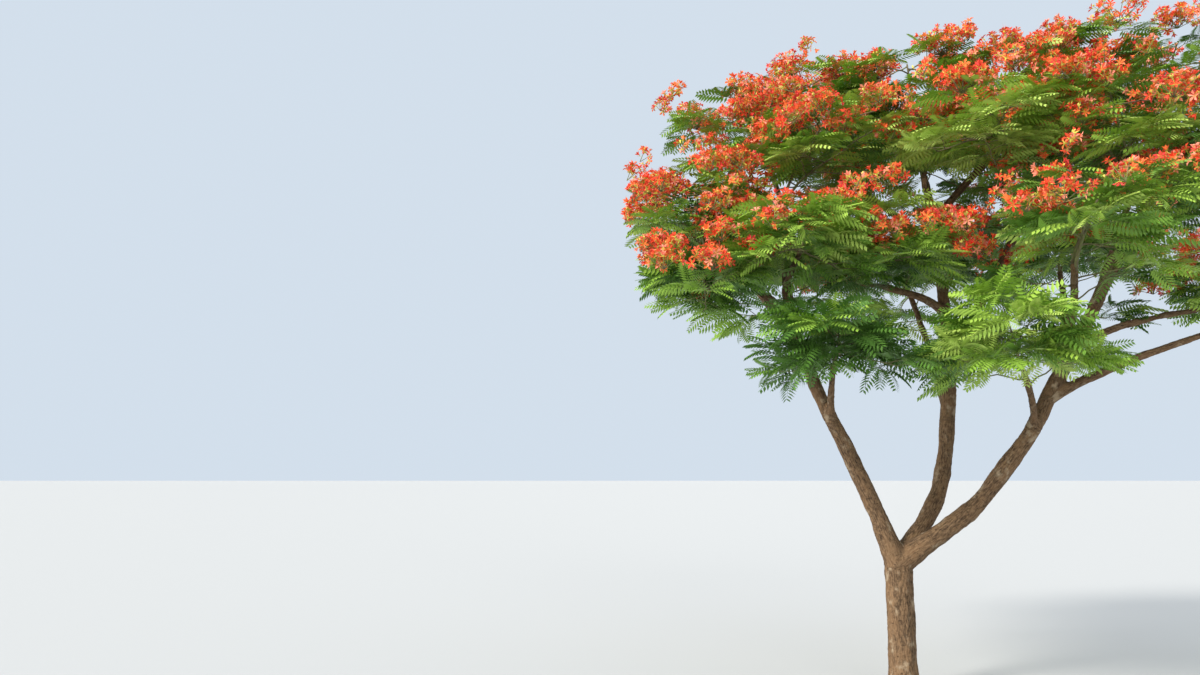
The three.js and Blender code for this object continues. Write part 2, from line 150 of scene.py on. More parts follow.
# A pad of the crown: the limb that carries it, its heart, its spread, and whether blossom tops it.
Pad = namedtuple("Pad", "name limb heart spread blossom")
PADS = (
    Pad("left_low", "limb_left_low", (-0.88, -1.45, 3.35), 0.92, False),
    Pad("left_out", "limb_left_out", (-2.08, -0.48, 4.85), 0.88, True),
    Pad("left_edge", "limb_left_out", (-2.05, -1, 4.02), 0.72, False),
    Pad("left_front", "limb_left_front", (-1.25, -1.4, 4.3), 0.85, True),
    Pad("left_top", "bough_left", (-1.48, 0.25, 6.05), 0.9, True),
    Pad("left_shoulder", "bough_left", (-0.72, -0.9, 5.45), 0.85, True),
    Pad("left_back", "limb_left_back", (-1.75, 1.35, 5.05), 0.9, False),
    Pad("back_left", "limb_left_back", (-0.65, 2.05, 5), 0.9, False),
    Pad("centre_out", "limb_centre_out", (-0.28, -0.95, 4.4), 0.88, False),
    Pad("centre_left_top", "limb_centre_up", (-0.52, 0.7, 6.6), 0.85, True),
    Pad("centre_top", "bough_centre", (0.4, 0, 6.48), 0.88, True),
    Pad("back_top", "bough_centre", (0.45, 1.45, 6.25), 0.9, False),
    Pad("right_top", "limb_centre_right", (2.45, -0.05, 6.7), 0.88, True),
    Pad("back_right_top", "limb_centre_right", (1.65, 1.05, 6.4), 0.9, True),
    Pad("back_low", "limb_centre_back", (0.65, 2.55, 5), 0.9, False),
    Pad("back_right", "limb_centre_back", (1.8, 2.4, 5.15), 0.88, False),
    Pad("centre_right_top", "limb_centre_front", (1.45, -0.25, 6.35), 0.85, True),
    Pad("front_top", "limb_centre_front", (0.45, -1.45, 5.35), 0.85, True),
    Pad("right_edge_top", "bough_right", (3.35, -0.15, 6.48), 0.9, True),
    Pad("right_edge", "bough_right", (3.9, 0.45, 5.4), 0.88, False),
    Pad("right_low", "limb_right_low", (3.5, -1.15, 4.05), 0.82, False),
    Pad("right_mid", "limb_right_mid", (4.05, 0.15, 4.25), 0.8, False),
    Pad("front_right", "limb_right_front", (1.15, -2.15, 4.35), 0.85, True),
    Pad("front_low", "limb_front_low", (0.54, -1.78, 3.35), 0.88, False),
    Pad("front_right_top", "limb_right_up", (1.65, -1.55, 5.35), 0.85, True),
    Pad("right_front", "limb_right_up", (2.7, -1.6, 4.95), 0.85, False),
    Pad("right_back", "limb_right_back", (3.05, 1.75, 5.05), 0.9, False),
    Pad("right_back_top", "limb_right_back", (2.85, 1.05, 5.85), 0.85, False),
)

# Where a sprig leaves its twig: its turn from the twig's heading, in radians, how far back from the
# twig's end as a share of the twig, and its rise in radians.
SPRIG_FAN = (
    (0.0, 0.0, 0.05), (0.75, 0.12, 0.3), (-0.75, 0.2, -0.12), (1.25, 0.42, -0.2), (-1.25, 0.5, 0.25),
    (1.6, 0.75, 0.15), (-1.6, 0.82, -0.15),
)
SHOOT_FAN = SPRIG_FAN[:3]
BLOSSOM_FAN = ((0.8, 0.32, -0.12), (-0.8, 0.42, -0.12))

# Helpers for vectors and random draws
UP = np.array((0.0, 0.0, 1.0))
AHEAD = np.array((1.0, 0.0, 0.0))
# Share of a full turn from one shoot or stalk to the next
GOLDEN_TURN = 0.382
# What each kind of random draw adds to the seed, so that one kind doesn't change another
LEAF_SEED = 1
TRUSS_SEED = 2
RED_SEED = 3
PETAL_SEED = 20
CALYX_SEED = 30
BUD_SEED = 31
STALK_SEED = 100
FLOWER_SEED = 500
# The solids' random numbers have 32 bits. They are stepped on and then mixed by these.
WORD = 0xFFFFFFFF
DRAW_STEP = 0x6D2B79F5
MIX_SHIFTS = (15, 7, 14)
MIX_BITS = 61


def unit(vector):
    return vector / np.linalg.norm(vector)


def clamped(share):
    return min(max(share, 0.0), 1.0)


def heading(azimuth, rise):
    flat = math.cos(rise)
    return np.array((math.cos(azimuth) * flat, math.sin(azimuth) * flat, math.sin(rise)))


def point_along(points, share):
    place = share * (len(points) - 1)
    low = min(int(place), len(points) - 2)
    return points[low] + (place - low) * (points[low + 1] - points[low])


def seeded_random(seed):
    """The small seeded generator of the solids, so that the main twigs point the same way."""
    state = seed & WORD
    first, second, third = MIX_SHIFTS

    def draw():
        nonlocal state
        state = (state + DRAW_STEP) & WORD
        mixed = ((state ^ (state >> first)) * (1 | state)) & WORD
        mixed = (mixed + (((mixed ^ (mixed >> second)) * (MIX_BITS | mixed)) & WORD) & WORD) ^ mixed
        return ((mixed ^ (mixed >> third)) & WORD) / (WORD + 1)

    return draw


# Paths with frames carried along them without twist
PATH_STEPS = 240
CENTRIPETAL = 0.5
SPAN_SAMPLES = 80
BEND_SAMPLES = 160


class Path:
    """A curve sampled evenly by its length, with a tangent and two cross directions at every step."""

    def __init__(self, samples):
        samples = np.asarray(samples, dtype=float)
        lengths = np.concatenate(([0.0], np.cumsum(np.linalg.norm(np.diff(samples, axis=0), axis=1))))
        self.length = lengths[-1]
        even = np.linspace(0.0, self.length, PATH_STEPS + 1)
        self.points = np.stack([np.interp(even, lengths, samples[:, axis]) for axis in range(3)], axis=1)
        tangents = np.gradient(self.points, axis=0)
        self.tangents = tangents / np.linalg.norm(tangents, axis=1)[:, None]
        self.normals = carried_normals(self.tangents)
        self.binormals = np.cross(self.tangents, self.normals)

    def point(self, share):
        return point_along(self.points, clamped(share))

    def step(self, share):
        return int(round(clamped(share) * PATH_STEPS))


def carried_normals(tangents):
    axis = np.zeros(3)
    axis[np.argmin(np.abs(tangents[0]))] = 1.0
    normal = np.cross(tangents[0], unit(np.cross(tangents[0], axis)))
    normals = [normal]
    for before, after in zip(tangents[:-1], tangents[1:]):
        turn = Vector(before).rotation_difference(Vector(after))
        normal = np.array(turn @ Vector(normals[-1]))
        normals.append(unit(normal - after * normal.dot(after)))
    return np.array(normals)


def curved_path(points):
    """A smooth path through points, on the centripetal rule of the solids' boughs."""
    points = [np.array(point, dtype=float) for point in points]
    points = [2 * points[0] - points[1], *points, 2 * points[-1] - points[-2]]
    samples = []
    shares = np.linspace(0.0, 1.0, SPAN_SAMPLES, endpoint=False)[:, None]
    for before, start, end, after in zip(points, points[1:], points[2:], points[3:]):
        spans = ((before, start), (start, end), (end, after))
        gaps = [np.linalg.norm(b - a) ** CENTRIPETAL for a, b in spans]
        leave = (start - before) / gaps[0] - (end - before) / (gaps[0] + gaps[1]) + (end - start) / gaps[1]
        reach = (end - start) / gaps[1] - (after - start) / (gaps[1] + gaps[2]) + (after - end) / gaps[2]
        leave, reach = leave * gaps[1], reach * gaps[1]
        square = -3 * start + 3 * end - 2 * leave - reach
        cube = 2 * start - 2 * end + leave + reach
        samples.append(start + leave * shares + square * shares ** 2 + cube * shares ** 3)
    return Path(np.concatenate([*samples, points[-2][None]]))


def bent_path(start, bend, end):
    """A path from start to end that sets off towards bend."""
    shares = np.linspace(0.0, 1.0, BEND_SAMPLES)[:, None]
    return Path((1 - shares) ** 2 * start + 2 * shares * (1 - shares) * bend + shares ** 2 * end)


# The skeleton of limbs, stems and twigs
GrownLimb = namedtuple("GrownLimb", "limb path radius")
Stem = namedtuple("Stem", "pad part path")
Twig = namedtuple("Twig", "pad part foot end azimuth")


def limb_radius(limb, length):
    root, tip = limb.radii
    swell, reach = BOUGH_COLLAR if limb.parent == "trunk" else SIDE_LIMB_COLLAR

    def radius(share):
        collar = swell * np.exp(-share * length / (reach * root))
        return (root + (tip - root) * share ** limb.taper) * (1 + collar)

    return radius


def grow_limbs():
    grown = {}
    for limb in LIMBS:
        if limb.parent == "trunk":
            path = curved_path([(0, 0, FORK_HEIGHT), *limb.knees, limb.tip])
        else:
            parent = grown[limb.parent].path
            foot = parent.point(limb.at)
            away = np.array(limb.tip) - foot
            lead = unit(LEAD_ALONG_PARENT * parent.tangents[parent.step(limb.at)] + unit(away))
            bend = foot + lead * np.linalg.norm(away) * LEAD_SHARE
            path = bent_path(foot, bend, np.array(limb.tip))
        grown[limb.name] = GrownLimb(limb, path, limb_radius(limb, path.length))
    return grown


def plant_stems(grown):
    """The stems that share a limb's tip stand evenly round it, each on the side that it grows towards."""
    path = grown.path
    tangent, normal, binormal = path.tangents[-1], path.normals[-1], path.binormals[-1]
    face = path.points[-1]
    side = unit(np.cross(tangent, UP))
    plans = []
    for pad in (pad for pad in PADS if pad.limb == grown.limb.name):
        for part, hand in (("blossom", -1), ("leaf", 1)) if pad.blossom else (("leaf", 0),):
            goal = np.array(pad.heart) + side * hand * STEM_PARTING + UP * pad.spread * STEM_GOAL[part]
            away = goal - face
            plans.append((math.atan2(away @ binormal, away @ normal), pad, part, goal))
    plans.sort(key=lambda plan: plan[0])
    slot = 2 * math.pi / max(len(plans), 1)
    turn = sum(angle - index * slot for index, (angle, *_) in enumerate(plans)) / max(len(plans), 1)
    ring = grown.limb.radii[1] - STEM_RING if len(plans) > 1 else 0.0
    stems = []
    for index, (_, pad, part, goal) in enumerate(plans):
        angle = turn + index * slot
        foot = face + ring * (normal * math.cos(angle) + binormal * math.sin(angle))
        bend = foot + tangent * STEM_LEAD * np.linalg.norm(np.array(pad.heart) - face)
        stems.append(Stem(pad, part, bent_path(foot, bend, goal)))
    return stems


def grow_twigs(stem, seed):
    """The main twigs of a mass, at the solids' azimuths."""
    draw = seeded_random(seed)
    twigs = []
    for tier in TIERS[stem.part]:
        if tier.only_bare and stem.pad.blossom:
            continue
        turn = 2 * math.pi * draw()
        for index in range(tier.twigs):
            azimuth = turn + 2 * math.pi * (index + TWIG_SWING * draw()) / tier.twigs
            share = (index + 0.5) / tier.twigs
            foot = stem.path.point(tier.start + (tier.end - tier.start) * share)
            rise = tier.rise + tier.stagger * ((index % 2) - 0.5)
            end = np.array(stem.pad.heart) + heading(azimuth, 0) * stem.pad.spread * tier.reach
            end[2] += stem.pad.spread * rise
            twigs.append(Twig(stem.pad, stem.part, foot, end, azimuth))
            for _ in range(tier.draws):
                draw()
    return twigs


def grow_skeleton():
    limbs = grow_limbs()
    stems = [stem for grown in limbs.values() for stem in plant_stems(grown)]
    twigs = [twig for index, stem in enumerate(stems) for twig in grow_twigs(stem, SEED + index)]
    return limbs, stems, twigs


LIMB_PATHS, STEMS, TWIGS = grow_skeleton()

# The most that leaves and petals may stand out of the solids' box, well inside what fabric may
BOX_LEEWAY = 0.06
BOX_LOW = np.array(CAD_BOX[0]) - BOX_LEEWAY
BOX_HIGH = np.array(CAD_BOX[1]) + BOX_LEEWAY
# Blossom takes a pad over at a share of its spread above its heart. Leaves may reach a little past that.
BLOSSOM_SPLIT = 0.33
SPLIT_EASE = 0.14


def inside_pad(pad, point, ease=1.0):
    """Whether a point lies in its pad's flat round space, eased outwards, and near the solids' box."""
    away = (point - np.array(pad.heart)) / (1, 1, PAD_FLATNESS)
    return away @ away < (pad.spread * ease) ** 2 and (point > BOX_LOW).all() and (point < BOX_HIGH).all()


def below_blossom(pad, point):
    """Whether a point of a leaf leaves the upper part of its pad to the blossom that tops it."""
    return not pad.blossom or point[2] < pad.heart[2] + BLOSSOM_SPLIT * pad.spread + SPLIT_EASE


# Meshes from arrays
def new_object(name, data):
    item = bpy.data.objects.new(name, data)
    bpy.context.scene.collection.objects.link(item)
    return item


def new_piece(name, vertices, faces, material, smooth=False):
    mesh = bpy.data.meshes.new(name)
    mesh.from_pydata(np.asarray(vertices).tolist(), [], faces)
    mesh.materials.append(material)
    mesh.polygons.foreach_set("use_smooth", [smooth] * len(mesh.polygons))
    mesh.update()
    return new_object(name, mesh)


def finished_mesh(source):
    """The plain mesh that an object's modifier makes. The object itself goes, and its modifier with it."""
    depsgraph = bpy.context.evaluated_depsgraph_get()
    mesh = bpy.data.meshes.new_from_object(source.evaluated_get(depsgraph), depsgraph=depsgraph)
    bpy.data.objects.remove(source)
    return mesh


def vector_values(items, key):
    values = np.empty(len(items) * 3)
    items.foreach_get(key, values)
    return values.reshape(-1, 3)


def nodes_named(*kinds):
    return [name for name in frame["nodes"] if name.split("_")[0] in kinds]


def dress(piece, kinds):
    """Ties a piece to the one body and hides the nodes that it stands for."""
    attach(piece, "root")
    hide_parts(*nodes_named(*kinds))


class Tubes:
    """Collects closed round tubes as one mesh."""

    def __init__(self):
        self.vertices = []
        self.faces = []
        self.count = 0

    def add_rings(self, vertices, sides):
        """A tube from rings of points that follow one another."""
        first = self.count
        self.count += len(vertices)
        last = self.count - sides
        for base in range(first, last, sides):
            for side in range(sides):
                after = (side + 1) % sides
                self.faces.append((base + side, base + after, base + sides + after, base + sides + side))
        self.faces.append(tuple(range(first + sides - 1, first - 1, -1)))
        self.faces.append(tuple(range(last, last + sides)))
        self.vertices.append(vertices)

    def add(self, points, radii, sides):
        """A round tube along a list of points, with a radius at each."""
        points = np.asarray(points, dtype=float)
        tangents = np.gradient(points, axis=0)
        tangents /= np.linalg.norm(tangents, axis=1)[:, None]
        normals = carried_normals(tangents)
        binormals = np.cross(tangents, normals)
        angles = np.linspace(0, 2 * math.pi, sides, endpoint=False)
        across = normals[:, None] * np.cos(angles)[:, None] + binormals[:, None] * np.sin(angles)[:, None]
        rings = points[:, None] + across * np.asarray(radii, dtype=float)[:, None, None]
        self.add_rings(rings.reshape(-1, 3), sides)

    def piece(self, name, material):
        return new_piece(name, np.concatenate(self.vertices), self.faces, material, smooth=True)


# Shader helpers. The mottled mask has these values where a material gives none of its own.
MOTTLE = {"Scale": 10.0, "Detail": 4.0, "Low": 0.35, "High": 0.65}
MOTTLE_ROUGHNESS = 0.6
# Places of the colour sockets on a Mix node
MIX_FACTOR = 0
MIX_FIRST = 6
MIX_SECOND = 7
MIX_RESULT = 2

# A soft surface: scale and detail of its uneven gloss, least and most roughness, and specular level
Surface = namedtuple("Surface", "scale detail smoothest roughest specular")


def feed(tree, node, inputs):
    """Gives each input its value, or a link from another node's socket."""
    for key, value in inputs.items():
        if isinstance(value, bpy.types.NodeSocket):
            tree.links.new(value, node.inputs[key])
        else:
            node.inputs[key].default_value = value


def add_node(tree, kind, inputs=None, **settings):
    node = tree.nodes.new(kind)
    for key, value in settings.items():
        setattr(node, key, value)
    feed(tree, node, inputs or {})
    return node


def calculate(tree, operation, *values):
    return add_node(tree, "ShaderNodeMath", dict(enumerate(values)), operation=operation).outputs[0]


def mottle_group():
    """Puts out a soft mottled mask from 0 to 1, with the pattern's size and sharpness as inputs."""
    name = "Mottle"
    if name in bpy.data.node_groups:
        return bpy.data.node_groups[name]
    tree = bpy.data.node_groups.new(name, "ShaderNodeTree")
    tree.interface.new_socket("Vector", in_out="INPUT", socket_type="NodeSocketVector")
    for label, value in MOTTLE.items():
        socket = tree.interface.new_socket(label, in_out="INPUT", socket_type="NodeSocketFloat")
        socket.default_value = value
    tree.interface.new_socket("Mask", in_out="OUTPUT", socket_type="NodeSocketFloat")
    source = add_node(tree, "NodeGroupInput").outputs
    texture = add_node(tree, "ShaderNodeTexNoise", {
        "Vector": source["Vector"], "Scale": source["Scale"], "Detail": source["Detail"],
        "Roughness": MOTTLE_ROUGHNESS,
    })
    ramp = add_node(tree, "ShaderNodeMapRange", {
        "Value": texture.outputs["Fac"], "From Min": source["Low"], "From Max": source["High"],
    }, interpolation_type="SMOOTHSTEP")
    add_node(tree, "NodeGroupOutput", {"Mask": ramp.outputs["Result"]})
    return tree


def mottle(tree, vector, *values):
    """A mottled mask with its scale, its detail, and the noise at which it starts and is full."""
    inputs = {"Vector": vector, **MOTTLE, **dict(zip(MOTTLE, values))}
    return add_node(tree, "ShaderNodeGroup", inputs, node_tree=mottle_group()).outputs["Mask"]


def blend_colours(tree, mask, first, second):
    inputs = {MIX_FACTOR: mask, MIX_FIRST: first, MIX_SECOND: second}
    return add_node(tree, "ShaderNodeMix", inputs, data_type="RGBA").outputs[MIX_RESULT]


def bumped(tree, height, strength, distance):
    inputs = {"Height": height, "Strength": strength, "Distance": distance}
    return add_node(tree, "ShaderNodeBump", inputs).outputs["Normal"]


def new_material(name):
    material = bpy.data.materials.new(name)
    material.use_nodes = True
    return material, material.node_tree, material.node_tree.nodes["Principled BSDF"]


def rgba(colour):
    return (*colour, 1.0)


def soft_material(name, colour, surface):
    """A plain colour with a soft, slightly uneven gloss."""
    material, tree, shader = new_material(name)
    place = add_node(tree, "ShaderNodeTexCoord").outputs["Object"]
    uneven = mottle(tree, place, surface.scale, surface.detail)
    gloss = add_node(tree, "ShaderNodeMapRange", {
        "Value": uneven, "To Min": surface.smoothest, "To Max": surface.roughest,
    })
    feed(tree, shader, {
        "Base Color": rgba(colour), "Roughness": gloss.outputs["Result"],
        "Specular IOR Level": surface.specular,
    })
    return material


# Settings that a user would change
def length_property(name, description, default):
    return FloatProperty(
        name=name, description=description, default=default, min=0.001, max=10.0, unit="LENGTH",
    )


def count_property(name, description, default):
    return IntProperty(name=name, description=description, default=default, min=1, max=40)


def strength_property(name, description, default):
    return FloatProperty(name=name, description=description, default=default, min=0.0)


def colour_property(name, description, default):
    return FloatVectorProperty(
        name=name, description=description, default=default, size=3, min=0.0, max=1.0, subtype="COLOR",
    )


class BarkSettings(bpy.types.PropertyGroup):
    """Sizes and colours of the trunk's and limbs' bark."""

    voxel: length_property("Mesh step", "Edge length of the bark's mesh", 0.0178)
    lumps: length_property("Lumps", "Height of the bark's broad lumps", 0.009)
    fissures: length_property("Fissures", "Depth of the fissures along the wood", 0.009)
    pale: colour_property("Pale bark", "Colour of the bark's worn ridges", (0.236, 0.146, 0.078))
    brown: colour_property("Brown bark", "Main colour of the bark", (0.13, 0.073, 0.035))
    dark: colour_property("Dark bark", "Colour of the bark's hollows", (0.034, 0.019, 0.01))
    lichen: colour_property("Lichen", "Colour of the pale patches", (0.3, 0.225, 0.145))
    twig: colour_property("Twig bark", "Main colour of the twigs", (0.155, 0.12, 0.065))
    shoot: colour_property("Young shoots", "Colour of the twigs' greener patches", (0.2, 0.21, 0.075))


class LeafSettings(bpy.types.PropertyGroup):
    """Sizes and colours of the feathery leaves."""

    length: length_property("Leaf length", "Length of one feathery leaf", 0.345)
    variation: FloatProperty(
        name="Length variation", description="How much leaves differ in length", default=0.1, min=0.0,
        max=0.9, subtype="FACTOR",
    )
    per_sprig: count_property("Leaves on a sprig", "Most leaves on one sprig", 14)
    sprig: length_property("Sprig length", "Length of the sprigs that bear the leaves", 0.36)
    # Greens dealt by painted light and shade: the darkest deep and low in the crown, the lightest at its top,
    # rim and front
    shade: colour_property("Shade green", "Colour of the darkest sprays", (0.08, 0.185, 0.026))
    deep: colour_property("Deep green", "Colour of the dark sprays", (0.155, 0.302, 0.038))
    mid: colour_property("Middle green", "Colour of the sprays between dark and light", (0.245, 0.414, 0.051))
    fresh: colour_property("Fresh green", "Colour of the light sprays", (0.31, 0.475, 0.065))
    lime: colour_property("Lime green", "Colour of the lightest sprays", (0.41, 0.55, 0.11))


class BlossomSettings(bpy.types.PropertyGroup):
    """Sizes and colours of the trusses of blossom."""

    radius: length_property("Truss radius", "Radius of a full truss of blossom", 0.29)
    flatness: FloatProperty(
        name="Truss height", description="Height of a truss as a share of its radius", default=0.85, min=0.1,
        max=2.0, subtype="FACTOR",
    )
    racemes: count_property("Stalks in a truss", "Flowering stalks in a full truss", 13)
    flowers: count_property("Flowers on a stalk", "Most flowers on one stalk", 6)
    petal: length_property("Petal length", "Length of one petal", 0.054)
    scarlet: colour_property("Scarlet", "Colour of the commonest flowers", (0.78, 0.072, 0.028))
    orange: colour_property("Orange red", "Colour of the orange flowers", (0.86, 0.172, 0.042))
    crimson: colour_property("Crimson", "Colour of the darkest flowers", (0.66, 0.045, 0.038))
    # Salmon is partly painted highlight: paler flowers dealt at random, as sunlit petals would shine
    salmon: colour_property("Salmon", "Colour of the palest flowers", (0.87, 0.28, 0.18))
    calyx: colour_property("Calyx", "Colour of the calyx and its short stalk", (0.58, 0.55, 0.08))
    bud: colour_property("Buds", "Colour of the closed buds", (0.66, 0.56, 0.1))


class StageSettings(bpy.types.PropertyGroup):
    """Camera and studio."""

    lens: FloatProperty(name="Lens", description="Focal length of the camera", default=26.01, unit="CAMERA")
    height: length_property("Camera height", "Height of the camera above the ground", 2.15)
    pitch: FloatProperty(
        name="Pitch", description="How far the camera looks up", default=math.radians(9.3), subtype="ANGLE",
    )
    floor: colour_property("Floor", "Colour of the studio floor", (0.49, 0.49, 0.48))
    backdrop: colour_property("Backdrop", "Colour of the light all round", (0.74, 0.84, 0.95))
    key: strength_property("Key light", "Strength of the main light", 3.25)
    ambient: strength_property("Ambient", "Strength of the light all round", 0.88)


# Bark
TRUNK_SIDES = 80
LIMB_SIDES = 28
RING_STEP = 0.03
FEWEST_RINGS = 8
# A limb's end is rounded over some rings and stops a little short of a point
TIP_RINGS = 4
TIP_EASE = 0.35
# Points lower than this lie flat on the ground
FOOT_FLAT = 0.006
# How far a limb strays from its path to two sides, over which length, and the shifts of its noise
WOBBLE = 0.022
WOBBLE_SIZE = 0.55
WOBBLE_SHIFTS = (3.1, 7.7)
# A limb's swellings: share of its radius, length, and shift of the noise
SWELLINGS = ((0.13, 0.21, 5.3), (0.07, 0.08, 1.9))
# Shallow furrows round the trunk: how many, and their turn for each metre of height, in radians
FURROW_DEPTH = 0.035
FURROWS = ((3, 1.1), (7, -2.3))
# Steps between the points that the grain is measured from, in metres up the trunk and in steps along a
# limb's path, and how thick the bark of each kind of wood is as a share of the trunk's
GRAIN_STEP = 0.02
GRAIN_SKIP = 2
BARK_SHARES = {"trunk": 1.0, "bough": 0.45, "limb": 0.25}
# The relief's features: width and length of each, how much of the lumps the thinnest bark has, and how
# narrow the fissures are
LUMP_SIZE = (0.11, 0.17)
FISSURE_SIZE = (0.035, 0.16)
RING_SIZE = (0.2, 0.035)
GRIT_SIZE = (0.018, 0.03)
LEAST_LUMPS = 0.35
FISSURE_SHARPNESS = 5
SMALL_RIDGE = 0.0016


def noise_at(point, size, shift):
    return noise.noise(Vector((point[0] / size + shift, point[1] / size - shift, point[2] / size)))


def limb_rings(grown):
    """Points and radii along a limb, a little crooked, with a rounded end past its tip."""
    path = grown.path
    count = max(FEWEST_RINGS, int(path.length / RING_STEP))
    points, radii = [], []
    for share in np.linspace(0.0, 1.0, count + 1):
        step = path.step(share)
        place = path.point(share)
        loose = WOBBLE * math.sin(math.pi * share)
        for across, shift in zip((path.normals[step], path.binormals[step]), WOBBLE_SHIFTS):
            place = place + across * loose * noise_at(place, WOBBLE_SIZE, shift)
        swell = 1.0
        for height, size, shift in SWELLINGS:
            swell += height * noise_at(place, size, shift)
        points.append(place)
        radii.append(grown.radius(share) * swell)
    tip = radii[-1]
    for ring in range(1, TIP_RINGS + 1):
        angle = 0.5 * math.pi * ring / (TIP_RINGS + TIP_EASE)
        points.append(path.points[-1] + path.tangents[-1] * tip * math.sin(angle))
        radii.append(tip * math.cos(angle))
    return points, radii


def trunk_rings():
    """The trunk's stem with its root lobes, closed over between the arms of the fork."""
    rings = int(CROTCH_HEIGHT / (RING_STEP / 2))
    vertices = []
    for ring in range(rings + 1):
        height = CROTCH_HEIGHT * ring / rings
        closing = clamped((height - FORK_HEIGHT) / (CROTCH_HEIGHT - FORK_HEIGHT))
        stem = (TRUNK_RADIUS - BARK_EASE) * math.sqrt(1 - CROTCH_TAPER * closing ** 2)
        flare = FLARE_REACH * math.exp(-height / FLARE_HEIGHT)
        for side in range(TRUNK_SIDES):
            angle = 2 * math.pi * side / TRUNK_SIDES
            lobe = 1 + FLARE_LOBE_DEPTH * math.cos(FLARE_LOBES * angle)
            furrow = 1.0
            for count, turn in FURROWS:
                furrow += FURROW_DEPTH * math.sin(count * angle + turn * height)
            radius = stem * furrow + flare * lobe
            vertices.append((radius * math.cos(angle), radius * math.sin(angle), height))
    return np.array(vertices)


def wood_lines():
    """Points along the middles of the trunk and the limbs: frame, length from the ground and bark's share."""
    lines = []
    for height in np.arange(0.0, FORK_HEIGHT, GRAIN_STEP):
        lines.append((UP * height, UP, AHEAD, np.cross(UP, AHEAD), height, BARK_SHARES["trunk"]))
    for grown in LIMB_PATHS.values():
        path = grown.path
        bark = BARK_SHARES[grown.limb.name.split("_")[0]]
        for step in range(0, PATH_STEPS + 1, GRAIN_SKIP):
            along = FORK_HEIGHT + path.length * step / PATH_STEPS
            lines.append((
                path.points[step], path.tangents[step], path.normals[step], path.binormals[step], along, bark,
            ))
    return [np.array(column) for column in zip(*lines)]


def grain_of(points):
    """Each point's place across and along the limb that it lies on, and how thick-barked that limb is."""
    middles, tangents, normals, binormals, alongs, barks = wood_lines()
    tree = kdtree.KDTree(len(middles))
    for index, middle in enumerate(middles):
        tree.insert(middle, index)
    tree.balance()
    nearest = np.array([tree.find(point)[1] for point in points])
    away = points - middles[nearest]
    along, across, around = (
        np.einsum("ij,ij->i", away, axes[nearest]) for axes in (tangents, normals, binormals)
    )
    return np.stack([across, around, alongs[nearest] + along], axis=1), barks[nearest]


def relief_height(grain, bark, settings):
    """Height of the bark's relief: broad lumps, fissures along the wood, and rings round the limbs."""
    across, around, along = grain

    def relief(size):
        wide, tall = size
        return noise.noise(Vector((across / wide, around / wide, along / tall)))

    height = settings.lumps * relief(LUMP_SIZE) * (LEAST_LUMPS + (1 - LEAST_LUMPS) * bark)
    height -= settings.fissures * bark * max(0.0, 1 - FISSURE_SHARPNESS * abs(relief(FISSURE_SIZE)))
    return height + SMALL_RIDGE * relief(RING_SIZE) + SMALL_RIDGE * relief(GRIT_SIZE)


def subdivide_trunk(mesh):
    """Cuts the trunk's faces finer, where the relief is seen from nearby."""
    work = bmesh.new()
    work.from_mesh(mesh)
    low = [edge for edge in work.edges if all(vertex.co.z < FORK_HEIGHT for vertex in edge.verts)]
    bmesh.ops.subdivide_edges(work, edges=low, cuts=1, use_grid_fill=True)
    work.to_mesh(mesh)
    work.free()


def remeshed(source, voxel):
    modifier = source.modifiers.new("Fuse", "REMESH")
    modifier.mode = "VOXEL"
    modifier.voxel_size = voxel
    return finished_mesh(source)


def make_bark(settings):
    tubes = Tubes()
    for grown in LIMB_PATHS.values():
        tubes.add(*limb_rings(grown), LIMB_SIDES)
    tubes.add_rings(trunk_rings(), TRUNK_SIDES)
    material = bark_material(settings)
    mesh = remeshed(tubes.piece("bark_source", material), settings.voxel)
    subdivide_trunk(mesh)
    places = vector_values(mesh.vertices, "co")
    outward = vector_values(mesh.vertex_normals, "vector")
    grain, barks = grain_of(places)
    heights = np.array([relief_height(place, bark, settings) for place, bark in zip(grain, barks)])
    places += outward * heights[:, None]
    places[places[:, 2] < FOOT_FLAT, 2] = 0.0
    mesh.vertices.foreach_set("co", places.ravel())
    attribute = mesh.attributes.new("grain", "FLOAT_VECTOR", "POINT")
    attribute.data.foreach_set("vector", grain.ravel())
    mesh.materials.clear()
    mesh.materials.append(material)
    mesh.polygons.foreach_set("use_smooth", [True] * len(mesh.polygons))
    mesh.update()
    mesh.name = "bark"
    dress(new_object("bark", mesh), ("trunk", "bough", "limb"))


# Layers of the bark's colour from the ground up: the colour that a mask brings, how the grain is
# stretched for it across and along, and the mask's values
BARK_LAYERS = {
    "broad": ("brown", (1.0, 1.0, 0.3), 13.0, 5.0, 0.4, 0.6),
    "fine": ("pale", (1.0, 1.0, 0.3), 70.0, 5.0, 0.28, 0.78),
    "rings": ("dark", (0.22, 0.22, 1.0), 90.0, 3.0, 0.58, 0.76),
    "patches": ("lichen", (1.0, 1.0, 0.8), 8.0, 6.0, 0.54, 0.7),
}
# The rings' height in the bump, which is below the rest, and the bump's strength and depth
RING_HEIGHT = -0.7
BARK_BUMP = (0.7, 0.006)
BARK_SURFACE = {"Roughness": 0.88, "Specular IOR Level": 0.25}


def bark_material(settings):
    """Brown bark with worn ridges, dark hollows, short rings round the limb and pale patches."""
    material, tree, shader = new_material("Bark")
    grain = add_node(tree, "ShaderNodeAttribute", attribute_name="grain").outputs["Vector"]
    colour = rgba(settings.dark)
    masks = {}
    for name, (tone, stretch, *values) in BARK_LAYERS.items():
        place = add_node(tree, "ShaderNodeMapping", {"Vector": grain, "Scale": stretch}).outputs["Vector"]
        masks[name] = mottle(tree, place, *values)
        colour = blend_colours(tree, masks[name], colour, rgba(getattr(settings, tone)))
    height = calculate(tree, "MULTIPLY_ADD", masks["rings"], RING_HEIGHT, masks["fine"])
    feed(tree, shader, {"Base Color": colour, "Normal": bumped(tree, height, *BARK_BUMP), **BARK_SURFACE})
    return material


# Twigs
STEM_SIDES = 6
STEM_POINTS = 9
